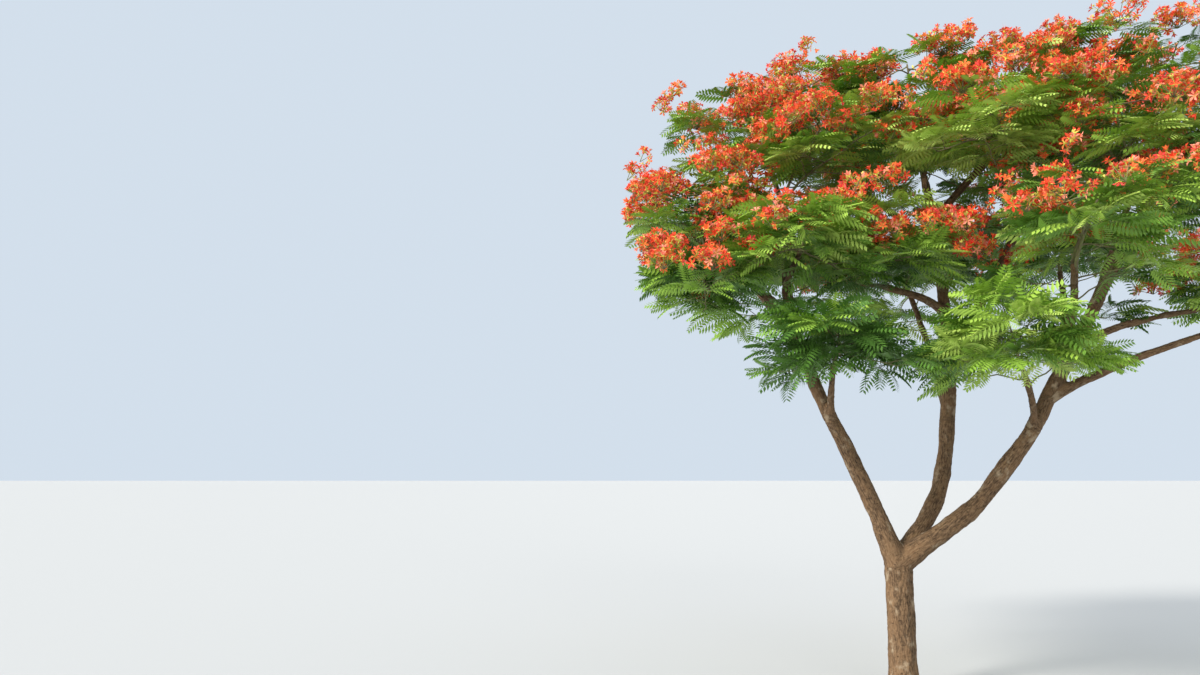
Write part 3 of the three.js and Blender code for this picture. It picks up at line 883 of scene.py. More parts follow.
# How far a stem's foot starts inside its limb
STEM_ROOT = 0.04
TWIG_SIDES = 5
SPRIG_SIDES = 3
STALK_RADII = (0.0042, 0.0026)
# How twigs and sprigs bend: in how many parts, and their sag and sway as shares of their length
TWIG_BEND = (6, -0.03, 0.012)
SPRIG_BEND = (3, -0.05, 0.02)
# Leaves and sprigs lie flatter the higher they stand, from a foot on and over a reach above it
LEVEL_FOOT = 3.5
LEVEL_REACH = 2.0
# How loosely sprigs follow their fan in turn and rise, and what their rise and its spread lose where they
# lie flat
SPRIG_TURN_SPREAD = 0.12
SPRIG_RISE_SPREAD = 0.14
SPRIG_RISE_LOSS = 0.5
SPRIG_SPREAD_LOSS = 0.07
# The least and the most random length of a sprig, the shorter lengths that are tried where one doesn't
# fit, and the share of its pad's space that it keeps to
SPRIG_SIZES = (0.75, 1.15)
SPRIG_CUTS = (1.0, 0.75, 0.5)
SPRIG_EASE = 0.86


def crooked_points(random, start, end, steps, sag, sway):
    """Points from start to end that sag in the middle, or arch up with a sag below zero, and sway."""
    start, end = np.asarray(start), np.asarray(end)
    length = np.linalg.norm(end - start)
    shares = np.linspace(0.0, 1.0, steps + 1)
    points = start + (end - start) * shares[:, None]
    points[:, 2] -= sag * length * np.sin(math.pi * shares)
    points[1:-1] += random.normal(0.0, sway * length, (steps - 1, 3))
    return points


def rim_share(pad, point):
    """How far a point lies from its pad's heart to the rim, seen from above."""
    return np.linalg.norm((point - np.array(pad.heart))[:2]) / pad.spread


def level_share(height):
    return clamped((height - LEVEL_FOOT) / LEVEL_REACH)


def fitting_cut(pad, foot, reach, cuts, ease=1.0):
    """The first share of a reach that ends inside the pad's leafy space, or None."""
    for cut in cuts:
        end = foot + reach * cut
        if inside_pad(pad, end, ease) and below_blossom(pad, end):
            return cut
    return None


Sprig = namedtuple("Sprig", "pad points azimuth rise flowering")

# Sprigs end in blossom most often at a pad's rim and in the middle of the crown: none do below its foot,
# and fewer near its top, where the pads are topped by blossom
FLOWERING_HEIGHTS = (3.6, 4.2, 5.3, 6.6)
FLOWERING_SHARES = (0.0, 1.0, 1.0, 0.4)
FLOWERING_INSIDE = 0.12
FLOWERING_AT_RIM = 0.95
# How much of a flowering sprig bears leaves
LEAFY_SHARE = 0.66

# Leafy shoots along a limb: how many, and between which shares of its length
Shoots = namedtuple("Shoots", "count start end")
SHOOTS = {
    "bough_left": Shoots(5, 0.62, 0.95), "bough_centre": Shoots(8, 0.55, 0.97),
    "limb_left_out": Shoots(2, 0.5, 0.9), "limb_left_front": Shoots(2, 0.5, 0.9),
    "limb_left_back": Shoots(4, 0.4, 0.95), "limb_centre_out": Shoots(4, 0.45, 0.95),
    "limb_centre_up": Shoots(5, 0.4, 0.97), "limb_centre_right": Shoots(5, 0.5, 0.97),
    "limb_centre_back": Shoots(4, 0.4, 0.95), "limb_centre_front": Shoots(5, 0.35, 0.97),
    "limb_right_front": Shoots(3, 0.55, 0.95), "limb_front_low": Shoots(2, 0.5, 0.9),
    "limb_right_up": Shoots(2, 0.55, 0.95), "limb_right_back": Shoots(4, 0.45, 0.95),
}
STEM_SHOOTS = Shoots(3, 0.15, 0.6)
LONG_STEM = 0.75
SHOOT_LENGTH = 0.5
SHOOT_SPACE = 0.8
SHOOT_PLACES = (0.2, 0.8)
SHOOT_SIZES = (0.75, 1.2)
SHOOT_TURN_SPREAD = 0.15
SHOOT_RISE = 0.25
# How much of its limb's direction a shoot leaves out
SHOOT_PARTING = 0.75


def grow_shoots(random):
    """Short leafy twigs that leave the limbs and the long bare stems between the pads."""
    bearers = [(name, LIMB_PATHS[name].path, shoot) for name, shoot in SHOOTS.items()]
    bearers += [(stem.pad.name, stem.path, STEM_SHOOTS) for stem in STEMS
                if stem.part == "leaf" and stem.path.length > LONG_STEM]
    shoots = []
    for name, path, shoot in bearers:
        for index in range(shoot.count):
            step = (index + random.uniform(*SHOOT_PLACES)) / shoot.count
            share = shoot.start + (shoot.end - shoot.start) * step
            tangent = path.tangents[path.step(share)]
            azimuth = 2 * math.pi * (index * GOLDEN_TURN + random.uniform(0.0, SHOOT_TURN_SPREAD))
            out = heading(azimuth, SHOOT_RISE)
            out = unit(out - SHOOT_PARTING * tangent * (out @ tangent))
            foot = path.point(share)
            end = foot + out * SHOOT_LENGTH * random.uniform(*SHOOT_SIZES)
            space = Pad(name, name, tuple(foot + out * 0.5 * SHOOT_LENGTH), SHOOT_SPACE, False)
            shoots.append(Twig(space, "leaf", foot, end, math.atan2(out[1], out[0])))
    return shoots


def grow_sprigs(random, twig, points, fan, length):
    """Sprigs fan out from a leafy twig, each as far as its pad's space lets it."""
    sprigs = []
    for turn, back, rise in fan:
        root = point_along(points, 1 - back)
        azimuth = twig.azimuth + turn + random.normal(0.0, SPRIG_TURN_SPREAD)
        level = level_share(root[2])
        spread = SPRIG_RISE_SPREAD - SPRIG_SPREAD_LOSS * level
        rise = rise * (1 - SPRIG_RISE_LOSS * level) + random.normal(0.0, spread)
        reach = heading(azimuth, rise) * (length * random.uniform(*SPRIG_SIZES))
        cut = fitting_cut(twig.pad, root, reach, SPRIG_CUTS, SPRIG_EASE)
        if cut is None:
            continue
        end = root + reach * cut
        often = np.interp(end[2], FLOWERING_HEIGHTS, FLOWERING_SHARES)
        outer = rim_share(twig.pad, end) ** 2
        often *= FLOWERING_INSIDE + (FLOWERING_AT_RIM - FLOWERING_INSIDE) * outer
        flowering = random.random() < often
        line = crooked_points(random, root, end, *SPRIG_BEND)
        sprigs.append(Sprig(twig.pad, line, azimuth, rise, flowering))
    return sprigs


def grow_wood(leaf_settings):
    """The twigs' points and the sprigs that they bear, the same for every piece that asks."""
    random = np.random.default_rng(SEED)
    twig_lines, sprigs = [], []
    for twig in [*TWIGS, *grow_shoots(random)]:
        points = crooked_points(random, twig.foot, twig.end, *TWIG_BEND)
        twig_lines.append((twig, points))
        fan = SPRIG_FAN if twig.pad in PADS else SHOOT_FAN
        if twig.part == "blossom":
            fan = BLOSSOM_FAN
            twig = twig._replace(pad=twig.pad._replace(blossom=False))
        sprigs.extend(grow_sprigs(random, twig, points, fan, leaf_settings.sprig))
    return twig_lines, sprigs


def make_twigs(bark_settings, leaf_settings):
    twig_lines, sprigs = grow_wood(leaf_settings)
    lines = []
    for stem in STEMS:
        points = np.array([stem.path.point(share) for share in np.linspace(0.0, 1.0, STEM_POINTS)])
        points[0] -= stem.path.tangents[0] * STEM_ROOT
        lines.append((points, STEM_RADII, STEM_SIDES))
    lines += [(points, TWIG_RADII, TWIG_SIDES) for _, points in twig_lines]
    lines += [(sprig.points, SPRIG_RADII, SPRIG_SIDES) for sprig in sprigs]
    for truss in grow_trusses():
        lines += [(points, STALK_RADII, SPRIG_SIDES) for points in truss_stalks(truss)]
    tubes = Tubes()
    for points, radii, sides in lines:
        tubes.add(points, np.linspace(*radii, len(points)), sides)
    dress(tubes.piece("twigs", twig_material(bark_settings)), ("leaf", "blossom"))


# Values of the twigs' masks, and strength and depth of their bump
TWIG_PATCHES = (6.0, 3.0, 0.4, 0.6)
TWIG_GRAIN = (240.0, 2.0)
TWIG_BUMP = (0.4, 0.002)
TWIG_ROUGHNESS = 0.75


def twig_material(settings):
    material, tree, shader = new_material("Twig bark")
    place = add_node(tree, "ShaderNodeTexCoord").outputs["Object"]
    patches = mottle(tree, place, *TWIG_PATCHES)
    feed(tree, shader, {
        "Base Color": blend_colours(tree, patches, rgba(settings.twig), rgba(settings.shoot)),
        "Normal": bumped(tree, mottle(tree, place, *TWIG_GRAIN), *TWIG_BUMP),
        "Roughness": TWIG_ROUGHNESS,
    })
    return material


# Shapes dealt out over points by Geometry Nodes. A point's attributes tell its shape's turn, size and
# kind: the type of each, and the field that holds its values.
SHAPE_INPUTS = ("Shape 1", "Shape 2", "Shape 3")
SPOT_ATTRIBUTES = {"turn": ("FLOAT_VECTOR", "vector"), "size": ("FLOAT", "value"), "shape": ("INT", "value")}
SCATTER_INPUTS = {
    "Geometry": "Geometry", **dict.fromkeys(SHAPE_INPUTS, "Object"), "Length": "Float", "Variation": "Float",
    "Seed": "Int", "Material": "Material",
}
# Places of the number sockets on a Random Value node
RANDOM_LEAST = 2
RANDOM_MOST = 3
RANDOM_RESULT = 1


def scatter_tree():
    """Puts one of three shapes on every point, turned, sized and varied, and turns all into one mesh."""
    name = "Scatter shapes"
    if name in bpy.data.node_groups:
        return bpy.data.node_groups[name]
    tree = bpy.data.node_groups.new(name, "GeometryNodeTree")
    for label, kind in SCATTER_INPUTS.items():
        tree.interface.new_socket(label, in_out="INPUT", socket_type="NodeSocket" + kind)
    tree.interface.new_socket("Geometry", in_out="OUTPUT", socket_type="NodeSocketGeometry")
    given = add_node(tree, "NodeGroupInput").outputs
    shapes = add_node(tree, "GeometryNodeGeometryToInstance")
    for label in reversed(SHAPE_INPUTS):
        info = add_node(tree, "GeometryNodeObjectInfo", {"Object": given[label]})
        tree.links.new(info.outputs["Geometry"], shapes.inputs["Geometry"])
    spot = {}
    for key, (kind, _) in SPOT_ATTRIBUTES.items():
        node = add_node(tree, "GeometryNodeInputNamedAttribute", {"Name": key}, data_type=kind)
        spot[key] = node.outputs["Attribute"]
    turned = add_node(tree, "FunctionNodeEulerToRotation", {"Euler": spot["turn"]})
    varied = add_node(tree, "FunctionNodeRandomValue", {
        RANDOM_LEAST: calculate(tree, "SUBTRACT", 1.0, given["Variation"]),
        RANDOM_MOST: calculate(tree, "ADD", 1.0, given["Variation"]),
        "Seed": given["Seed"],
    }, data_type="FLOAT")
    sized = calculate(tree, "MULTIPLY", spot["size"], given["Length"])
    placed = add_node(tree, "GeometryNodeInstanceOnPoints", {
        "Points": given["Geometry"], "Instance": shapes.outputs["Instances"], "Pick Instance": True,
        "Instance Index": spot["shape"], "Rotation": turned.outputs["Rotation"],
        "Scale": calculate(tree, "MULTIPLY", sized, varied.outputs[RANDOM_RESULT]),
    })
    real = add_node(tree, "GeometryNodeRealizeInstances", {"Geometry": placed.outputs["Instances"]})
    coloured = add_node(tree, "GeometryNodeSetMaterial", {
        "Geometry": real.outputs["Geometry"], "Material": given["Material"],
    })
    add_node(tree, "NodeGroupOutput", {"Geometry": coloured.outputs["Geometry"]})
    return tree


Spot = namedtuple("Spot", "place ahead up size shape")


def scatter(name, spots, shapes, material, length, variation, seed):
    """One plain mesh of the shapes at the spots."""
    mesh = bpy.data.meshes.new(name + "_points")
    mesh.from_pydata([tuple(spot.place) for spot in spots], [], [])
    turns = []
    for spot in spots:
        side = unit(np.cross(spot.up, spot.ahead))
        above = np.cross(spot.ahead, side)
        turns.extend(Matrix((spot.ahead, side, above)).transposed().to_euler())
    columns = (turns, [spot.size for spot in spots], [spot.shape for spot in spots])
    for (key, (kind, field)), column in zip(SPOT_ATTRIBUTES.items(), columns):
        mesh.attributes.new(key, kind, "POINT").data.foreach_set(field, column)
    source = new_object(name + "_points", mesh)
    modifier = source.modifiers.new("Scatter", "NODES")
    modifier.node_group = scatter_tree()
    values = {"Length": length, "Variation": variation, "Seed": seed, "Material": material}
    values.update(zip(SHAPE_INPUTS, shapes))
    for item in modifier.node_group.interface.items_tree:
        if item.in_out == "INPUT" and item.name in values:
            modifier[item.identifier] = values[item.name]
    result = finished_mesh(source)
    for key in SPOT_ATTRIBUTES:
        if key in result.attributes:
            result.attributes.remove(result.attributes[key])
    result.name = name
    return new_object(name, result)


def add_fan(vertices, faces, *corners):
    """Adds corners and the triangles that fan out from the first of them."""
    first = len(vertices)
    vertices.extend(corners)
    faces.extend((first, first + index, first + index + 1) for index in range(1, len(corners) - 1))


def shape_object(name, vertices, faces):
    mesh = bpy.data.meshes.new(name)
    mesh.from_pydata([tuple(vertex) for vertex in vertices], [], faces)
    return new_object(name, mesh)


def drop_shapes(shapes):
    for shape in shapes:
        bpy.data.objects.remove(shape)


# Leaves. The sizes of a leaf's parts are shares of its length.
PINNA_PAIRS = 9
PETIOLE = 0.13
PINNA_LENGTH = 0.29
PINNA_WIDTH = 0.079
# A blade's angle to the middle in degrees, and how much less it is at the tip
PINNA_ANGLE = 76
PINNA_ANGLE_LOSS = 28
# The blades' lengths follow a part of a half wave: its start, its span and its power
OUTLINE_START = 0.2
OUTLINE_SPAN = 0.72
OUTLINE_POWER = 0.7
# Where a blade is broadest, its share of the fold there, and how far its edges lie below and above
BROADEST = 0.46
FOLD_AT_BROADEST = 0.3
EDGE_DROP = 0.008
EDGE_LIFT = 0.004
RACHIS_WIDTH = 0.009
RACHIS_TAPER = 0.7
RACHIS_PARTS = 3
SPINE_STEP = 0.01
# Forms of a leaf: name, rise, droop, sideways sweep, and fold of the blades
FROND_FORMS = (
    ("frond_arched", 0.22, 0.36, 0.03, 0.2),
    ("frond_level", 0.08, 0.14, -0.05, 0.08),
    ("frond_drooping", 0.2, 0.5, 0.06, 0.34),
)


def frond_shape(name, rise, droop, sweep, fold):
    """A leaf one metre long: a ribbed middle, and pairs of narrow folded blades that narrow to the tip."""

    def spine(share):
        return np.array((share, sweep * share ** 2, rise * share - droop * share ** 2))

    vertices, faces = [], []
    for part in range(RACHIS_PARTS + 1):
        share = part / RACHIS_PARTS
        middle = spine(share)
        half = RACHIS_WIDTH * (1 - RACHIS_TAPER * share)
        vertices += [middle + (0, half, 0), middle + (0, -half, 0)]
    for part in range(RACHIS_PARTS):
        base = 2 * part
        faces.append((base, base + 1, base + 3, base + 2))
    for pair in range(PINNA_PAIRS):
        inner = (pair + 0.5) / PINNA_PAIRS
        share = PETIOLE + (1 - PETIOLE) * (pair + 0.5) / PINNA_PAIRS
        root = spine(share)
        ahead = unit(spine(share + SPINE_STEP) - root)
        reach = PINNA_LENGTH * math.sin(math.pi * (OUTLINE_START + OUTLINE_SPAN * inner)) ** OUTLINE_POWER
        angle = math.radians(PINNA_ANGLE - PINNA_ANGLE_LOSS * inner)
        for hand in (1, -1):
            side = np.array((0, hand, 0)) - ahead * ahead[1] * hand
            out = unit(ahead * math.cos(angle) + unit(side) * math.sin(angle))
            tip = root + out * reach - UP * fold * reach
            across = unit(np.cross(UP, out)) * PINNA_WIDTH * 0.5
            middle = root + out * reach * BROADEST - UP * fold * reach * FOLD_AT_BROADEST
            edges = (middle - across - UP * EDGE_DROP, middle + across + UP * EDGE_LIFT)
            add_fan(vertices, faces, root, edges[0], tip, edges[1])
    return shape_object(name, vertices, faces)


# Leaves on a sprig: the sprig's bare share, their turn and rise in radians with what these lose towards
# the sprig's tip and in the flat top of the crown, and the share of the sprig's rise that they follow
BARE_SPRIG = 0.3
LEAF_TURN = 1.35
LEAF_TURN_LOSS = 1.1
LEAF_RISE = 0.12
LEAF_RISE_LOSS = 0.08
LEAF_FOLLOW = 0.5
LEAF_SPREAD = 0.26
LEAF_SPREAD_LOSS = 0.14
# The least and the most random size of a leaf, and the smaller sizes that are tried where one doesn't fit
LEAF_SIZES = (0.85, 1.12)
LEAF_CUTS = (1.0, 0.8, 0.62)
# How loosely leaves tilt low and high in the crown, and how many are left out inside and under a pad
LOW_TILT = 0.45
HIGH_TILT = 0.24
THINNING = 0.7
UNDER_THINNING = 0.9
# What lightens a spray: its height in its pad, its place at the rim, its height in the crown from a foot
# on and over a span and its place towards the front, which paint light on the top, rim and front of the
# crown and painted shade deep inside and low in it; and chance, which is the leaves' own uneven tone
PAD_HEIGHT_PAINTED_LIGHT = 0.15
RIM_PAINTED_LIGHT = 0.3
CROWN_PAINTED_LIGHT = 0.35
CROWN_FOOT = 3.0
CROWN_SPAN = 4.0
FRONT_PAINTED_LIGHT = 0.06
CHANCE_LIGHT = 0.3
# Pads whose sprays are painted lighter or darker than their height tells: painted light on pads that lie
# in the crown's shade, painted shade on the low pads at the left
PAD_PAINTED_LIGHT = {
    "front_low": 0.12, "left_low": -0.35, "left_edge": -0.15, "centre_out": 0.15, "right_low": 0.1,
    "front_top": 0.42, "left_shoulder": 0.2, "front_right_top": 0.15, "left_front": 0.25,
}
# The greens from the darkest to the lightest, and the share of the leaves at which each of them ends. They
# are dealt by each spray's rank in painted light and shade, with some chance of the leaves' own tone.
GREENS = {"shade": 0.19, "deep": 0.43, "mid": 0.71, "fresh": 0.91, "lime": 1.0}
LEAF_SURFACE = Surface(60.0, 2.0, 0.42, 0.62, 0.35)


def leaf_spots(settings):
    """Leaves to both sides of every sprig in turn, and the brightness of the sprig that bears each: painted
    light and shade from its place, with some chance.
    """
    _, sprigs = grow_wood(settings)
    random = np.random.default_rng(SEED + LEAF_SEED)
    spots, lights = [], []
    for sprig in sprigs:
        tip = sprig.points[-1]
        outer = rim_share(sprig.pad, tip)
        high = (tip[2] - sprig.pad.heart[2]) / sprig.pad.spread
        crown = (tip[2] - CROWN_FOOT) / CROWN_SPAN
        # Painted light and shade: sprays high in their pad and the crown, at the rim and at the front rank
        # lighter
        light = PAD_HEIGHT_PAINTED_LIGHT * high + RIM_PAINTED_LIGHT * outer + CROWN_PAINTED_LIGHT * crown - FRONT_PAINTED_LIGHT * tip[1]
        light += random.normal(0.0, CHANCE_LIGHT)
        # Painted light and shade by pad: some pads lightened where shade falls on them, others darkened
        light += PAD_PAINTED_LIGHT.get(sprig.pad.name, 0.0)
        level = level_share(tip[2])
        tilt = LOW_TILT + (HIGH_TILT - LOW_TILT) * level
        for index in range(settings.per_sprig):
            share = BARE_SPRIG + (1 - BARE_SPRIG) * (index + 0.5) / settings.per_sprig
            if sprig.flowering and share > LEAFY_SHARE:
                continue
            if random.random() < level * (THINNING * (1 - outer) + UNDER_THINNING * max(-high, 0.0)):
                continue
            hand = 1 if index % 2 else -1
            turn = hand * (LEAF_TURN - LEAF_TURN_LOSS * share) + random.normal(0.0, LEAF_SPREAD)
            rise = LEAF_RISE - LEAF_RISE_LOSS * level + LEAF_FOLLOW * sprig.rise
            rise += random.normal(0.0, LEAF_SPREAD - LEAF_SPREAD_LOSS * level)
            place = point_along(sprig.points, share)
            size = random.uniform(*LEAF_SIZES)
            ahead = heading(sprig.azimuth + turn, rise)
            cut = fitting_cut(sprig.pad, place, ahead * settings.length * size, LEAF_CUTS)
            if cut is not None:
                up = unit(UP + tilt * random.normal(0.0, 1.0, 3))
                spots.append(Spot(place, ahead, up, size * cut, int(random.integers(len(SHAPE_INPUTS)))))
                lights.append(light)
    return spots, np.array(lights)


def make_leaves(settings):
    spots, lights = leaf_spots(settings)
    # Painted light and shade: sprays are ranked by lightness, and the greens go out by rank
    order = np.argsort(np.argsort(lights, kind="stable"), kind="stable") / len(lights)
    shapes = [frond_shape(*form) for form in FROND_FORMS]
    low = 0.0
    for index, (green, high) in enumerate(GREENS.items()):
        chosen = [spot for spot, share in zip(spots, order) if low <= share < high]
        material = soft_material("Leaf " + green, getattr(settings, green), LEAF_SURFACE)
        piece = scatter("leaves_" + green, chosen, shapes, material, settings.length, settings.variation,
                        SEED + index)
        dress(piece, ("leaf",))
        low = high
    drop_shapes(shapes)


# Blossom. The places of trusses: how far they stray up and down, and how far a small one stands above
# and beyond its sprig's tip.
TRUSS_STAGGER = 0.07
SIDE_TRUSS_LIFT = 0.15
SIDE_TRUSS_REACH = 0.17
# The trusses' size as a share of their full one, from one height to another
TRUSS_GROWTH = ((4.7, 6.2), (0.72, 1.05))
TRUSS_SIZES = (0.75, 1.25)
SIDE_TRUSS = 0.72
SIDE_TRUSS_SIZES = (0.7, 1.2)
# The dome of stalks: their least number, how loosely they follow one another round, their reach as a
# share of the truss, and the dome's height in its middle with what it loses to its rim
FEWEST_STALKS = 4
STALK_TURN_SPREAD = 0.04
STALK_REACH = 0.82
DOME_HEIGHT = 1.05
DOME_LOSS = 0.55
BLOSSOM_EASE = 1.2
# Flowers stand along a stalk from a share of it on and over a span. They and the buds at its end face
# along the stalk, upwards and loosely, with these weights.
FIRST_FLOWER = 0.42
FLOWER_SPAN = 0.55
FLOWER_FACING = (0.55, 0.25, 0.55)
FLOWER_SIZES = (0.85, 1.15)
BUDS_ON_STALK = 2
BUD_FACING = (1.0, 0.5, 0.5)
BUD_SIZES = (0.8, 1.2)
# The length of a flower's stalk as a share of a petal's
PEDICEL = 1.15

Truss = namedtuple("Truss", "pad foot radius index")


def grow_trusses():
    """Trusses stand on the blossom twigs, at the solids' places, and smaller ones end flowering sprigs."""
    settings = bpy.context.scene.flame_tree_blossom
    twig_lines, sprigs = grow_wood(bpy.context.scene.flame_tree_leaves)
    random = np.random.default_rng(SEED + TRUSS_SEED)
    trusses = []
    for twig, points in twig_lines:
        if twig.part == "blossom":
            foot = point_along(points, 1.0) + UP * random.normal(0.0, TRUSS_STAGGER)
            radius = settings.radius * random.uniform(*TRUSS_SIZES) * np.interp(foot[2], *TRUSS_GROWTH)
            trusses.append(Truss(twig.pad, foot, radius, len(trusses)))
    for sprig in sprigs:
        if sprig.flowering:
            radius = settings.radius * SIDE_TRUSS * random.uniform(*SIDE_TRUSS_SIZES)
            foot = sprig.points[-1] + UP * SIDE_TRUSS_LIFT + heading(sprig.azimuth, 0) * SIDE_TRUSS_REACH
            trusses.append(Truss(sprig.pad, foot, radius, len(trusses)))
    return trusses


def truss_stalks(truss):
    """The flowering stalks of a truss, spread over a low dome."""
    settings = bpy.context.scene.flame_tree_blossom
    random = np.random.default_rng(SEED + STALK_SEED + truss.index)
    stalks = []
    count = max(FEWEST_STALKS, round(settings.racemes * (truss.radius / settings.radius) ** 2))
    for index in range(count):
        turn = random.uniform(-STALK_TURN_SPREAD, STALK_TURN_SPREAD)
        azimuth = 2 * math.pi * (index * GOLDEN_TURN + turn)
        outward = math.sqrt((index + 0.5) / count)
        dome = settings.flatness * (DOME_HEIGHT - DOME_LOSS * outward ** 2)
        reach = truss.radius * np.array((outward, outward, dome))
        end = truss.foot + reach * np.array((math.cos(azimuth), math.sin(azimuth), 1.0)) * STALK_REACH
        if inside_pad(truss.pad, end, BLOSSOM_EASE):
            stalks.append(np.array((truss.foot, end)))
    return stalks


def loose_facing(random, along, onward, upward, spread):
    return unit(along * onward + UP * upward + random.normal(0.0, spread, 3))


def loose_roll(random, facing):
    return unit(np.cross(facing, random.normal(0.0, 1.0, 3)))


def flower_spots(settings):
    """Flowers on short stalks round every flowering stalk, and closed buds at its end."""
    flowers, buds = [], []
    for truss in grow_trusses():
        random = np.random.default_rng(SEED + FLOWER_SEED + truss.index)
        for points in truss_stalks(truss):
            along = unit(points[-1] - points[0])
            for index in range(settings.flowers):
                share = FIRST_FLOWER + FLOWER_SPAN * (index + 0.5) / settings.flowers
                facing = loose_facing(random, along, *FLOWER_FACING)
                place = point_along(points, share) + facing * settings.petal * PEDICEL
                if inside_pad(truss.pad, place, BLOSSOM_EASE):
                    roll = loose_roll(random, facing)
                    size = random.uniform(*FLOWER_SIZES)
                    flowers.append(Spot(place, facing, roll, size, int(random.integers(len(SHAPE_INPUTS)))))
            for _ in range(BUDS_ON_STALK):
                facing = loose_facing(random, along, *BUD_FACING)
                roll = loose_roll(random, facing)
                buds.append(Spot(points[-1], facing, roll, random.uniform(*BUD_SIZES), 0))
    return flowers, buds


# The sizes of a flower's parts are shares of a petal's length
PETALS = 5
# How unevenly petals stand round, and how that changes from one to the next
UNEVEN_PETALS = 0.12
UNEVEN_STEP = 3.0
PETAL_FOOT = 0.02
PETAL_TIP = 0.97
# Where a petal is broadest, and how far it is cupped there
PETAL_BROADEST = 0.62
PETAL_CUP = 0.08
STAMENS = 2
STAMEN_TURN = 0.4
STAMEN_SPREAD = 0.35
STAMEN_WIDTH = 0.028
STAMEN_LENGTH = 1.1
SEPALS = 3
SEPAL_WIDTH = 0.15
SEPAL_FOOT = 0.08
SEPAL_SPREAD = 0.66
SEPAL_TIP = 0.1
STALK_WIDTH = 0.06
BUD_SIDES = 3
BUD_BROADEST = 0.62
BUD_WIDTH = 0.17
# Forms of a flower: name, how far its petals close in degrees, how far their tips bend, half their width
FLOWER_FORMS = (
    ("flower_open", 28, 0.1, 0.2),
    ("flower_cupped", 55, 0.02, 0.18),
    ("flower_spread", 12, 0.2, 0.21),
)
CALYX_LENGTHS = (0.9, 1.0, 1.1)
BUD_LENGTHS = (0.6, 0.7, 0.8)


def round_axis(angle):
    """Directions away from the +X axis and round it."""
    out = np.array((0.0, math.cos(angle), math.sin(angle)))
    side = np.array((0.0, -math.sin(angle), math.cos(angle)))
    return out, side


def flower_shape(name, closing, tip_bend, width):
    """Five broad-ended petals round an axis along +X, and long stamens; petals are one metre long."""
    vertices, faces = [], []
    closed = math.radians(closing)
    for petal in range(PETALS):
        out, side = round_axis(2 * math.pi * (petal + UNEVEN_PETALS * math.sin(UNEVEN_STEP * petal)) / PETALS)
        ahead = AHEAD * math.sin(closed) + out * math.cos(closed)
        above = AHEAD * math.cos(closed) - out * math.sin(closed)
        broad = ahead * PETAL_BROADEST + above * PETAL_CUP
        blunt = ahead * PETAL_TIP - above * tip_bend
        add_fan(vertices, faces, ahead * PETAL_FOOT, broad - side * width, blunt, broad + side * width)
    for stamen in range(STAMENS):
        out, side = round_axis(2 * math.pi * stamen / STAMENS + STAMEN_TURN)
        tip = (AHEAD + STAMEN_SPREAD * out) * STAMEN_LENGTH
        add_fan(vertices, faces, side * STAMEN_WIDTH, -side * STAMEN_WIDTH, tip)
    return shape_object(name, vertices, faces)


def stalk_shape(name, length):
    """A calyx of pointed sepals and the short stalk behind it, on the flower's axis."""
    vertices, faces = [], []
    for sepal in range(SEPALS):
        out, side = round_axis(2 * math.pi * (sepal + 0.5) / SEPALS)
        back = AHEAD * SEPAL_FOOT
        tip = out * SEPAL_SPREAD + AHEAD * SEPAL_TIP
        add_fan(vertices, faces, side * SEPAL_WIDTH - back, -side * SEPAL_WIDTH - back, tip)
    add_fan(vertices, faces, (-length, 0.0, 0.0), (0.0, STALK_WIDTH, 0.0), (0.0, -STALK_WIDTH, 0.0))
    return shape_object(name, vertices, faces)


def bud_shape(name, length):
    """A small pointed bud on a short stalk."""
    vertices, faces = [(0.0, 0.0, 0.0), (length, 0.0, 0.0)], []
    for corner in range(BUD_SIDES):
        out, _ = round_axis(2 * math.pi * corner / BUD_SIDES)
        vertices.append(AHEAD * (BUD_BROADEST * length) + out * BUD_WIDTH)
        here, after = 2 + corner, 2 + (corner + 1) % BUD_SIDES
        faces += [(0, after, here), (1, here, after)]
    return shape_object(name, vertices, faces)


# The reds and the share of the flowers that each of them has. They are dealt at random; the pale salmon
# stands partly for painted highlights on sunlit petals and partly for the flowers' own uneven tone.
REDS = {"scarlet": 0.42, "orange": 0.26, "crimson": 0.12, "salmon": 0.2}
PETAL_SURFACE = Surface(90.0, 2.0, 0.45, 0.65, 0.3)
PETAL_VARIATION = 0.12
BUD_VARIATION = 0.2


def make_blossom(settings):
    flowers, buds = flower_spots(settings)
    random = np.random.default_rng(SEED + RED_SEED)
    dealt = random.choice(len(REDS), len(flowers), p=list(REDS.values()))
    heads = [flower_shape(*form) for form in FLOWER_FORMS]
    stalks = [stalk_shape("calyx_%d" % index, PEDICEL * size) for index, size in enumerate(CALYX_LENGTHS)]
    closed = [bud_shape("bud_%d" % index, size) for index, size in enumerate(BUD_LENGTHS)]

    def grow(name, spots, shapes, label, colour, variation, seed):
        material = soft_material(label, colour, PETAL_SURFACE)
        piece = scatter(name, spots, shapes, material, settings.petal, variation, SEED + seed)
        dress(piece, ("blossom",))

    for index, red in enumerate(REDS):
        chosen = [spot for spot, share in zip(flowers, dealt) if share == index]
        grow("petals_" + red, chosen, heads, "Petal " + red, getattr(settings, red), PETAL_VARIATION,
             PETAL_SEED + index)
    grow("calyces", flowers, stalks, "Calyx", settings.calyx, 0.0, CALYX_SEED)
    grow("buds", buds, closed, "Bud", settings.bud, BUD_VARIATION, BUD_SEED)
    drop_shapes([*heads, *stalks, *closed])


# Stage
FLOOR_SIZE = 3000.0
FLOOR_ROUGHNESS = 0.9
SIGHT = 4000.0
CAMERA_X = -3.085
CAMERA_Y = -9.24
SENSOR_WIDTH = 36.0
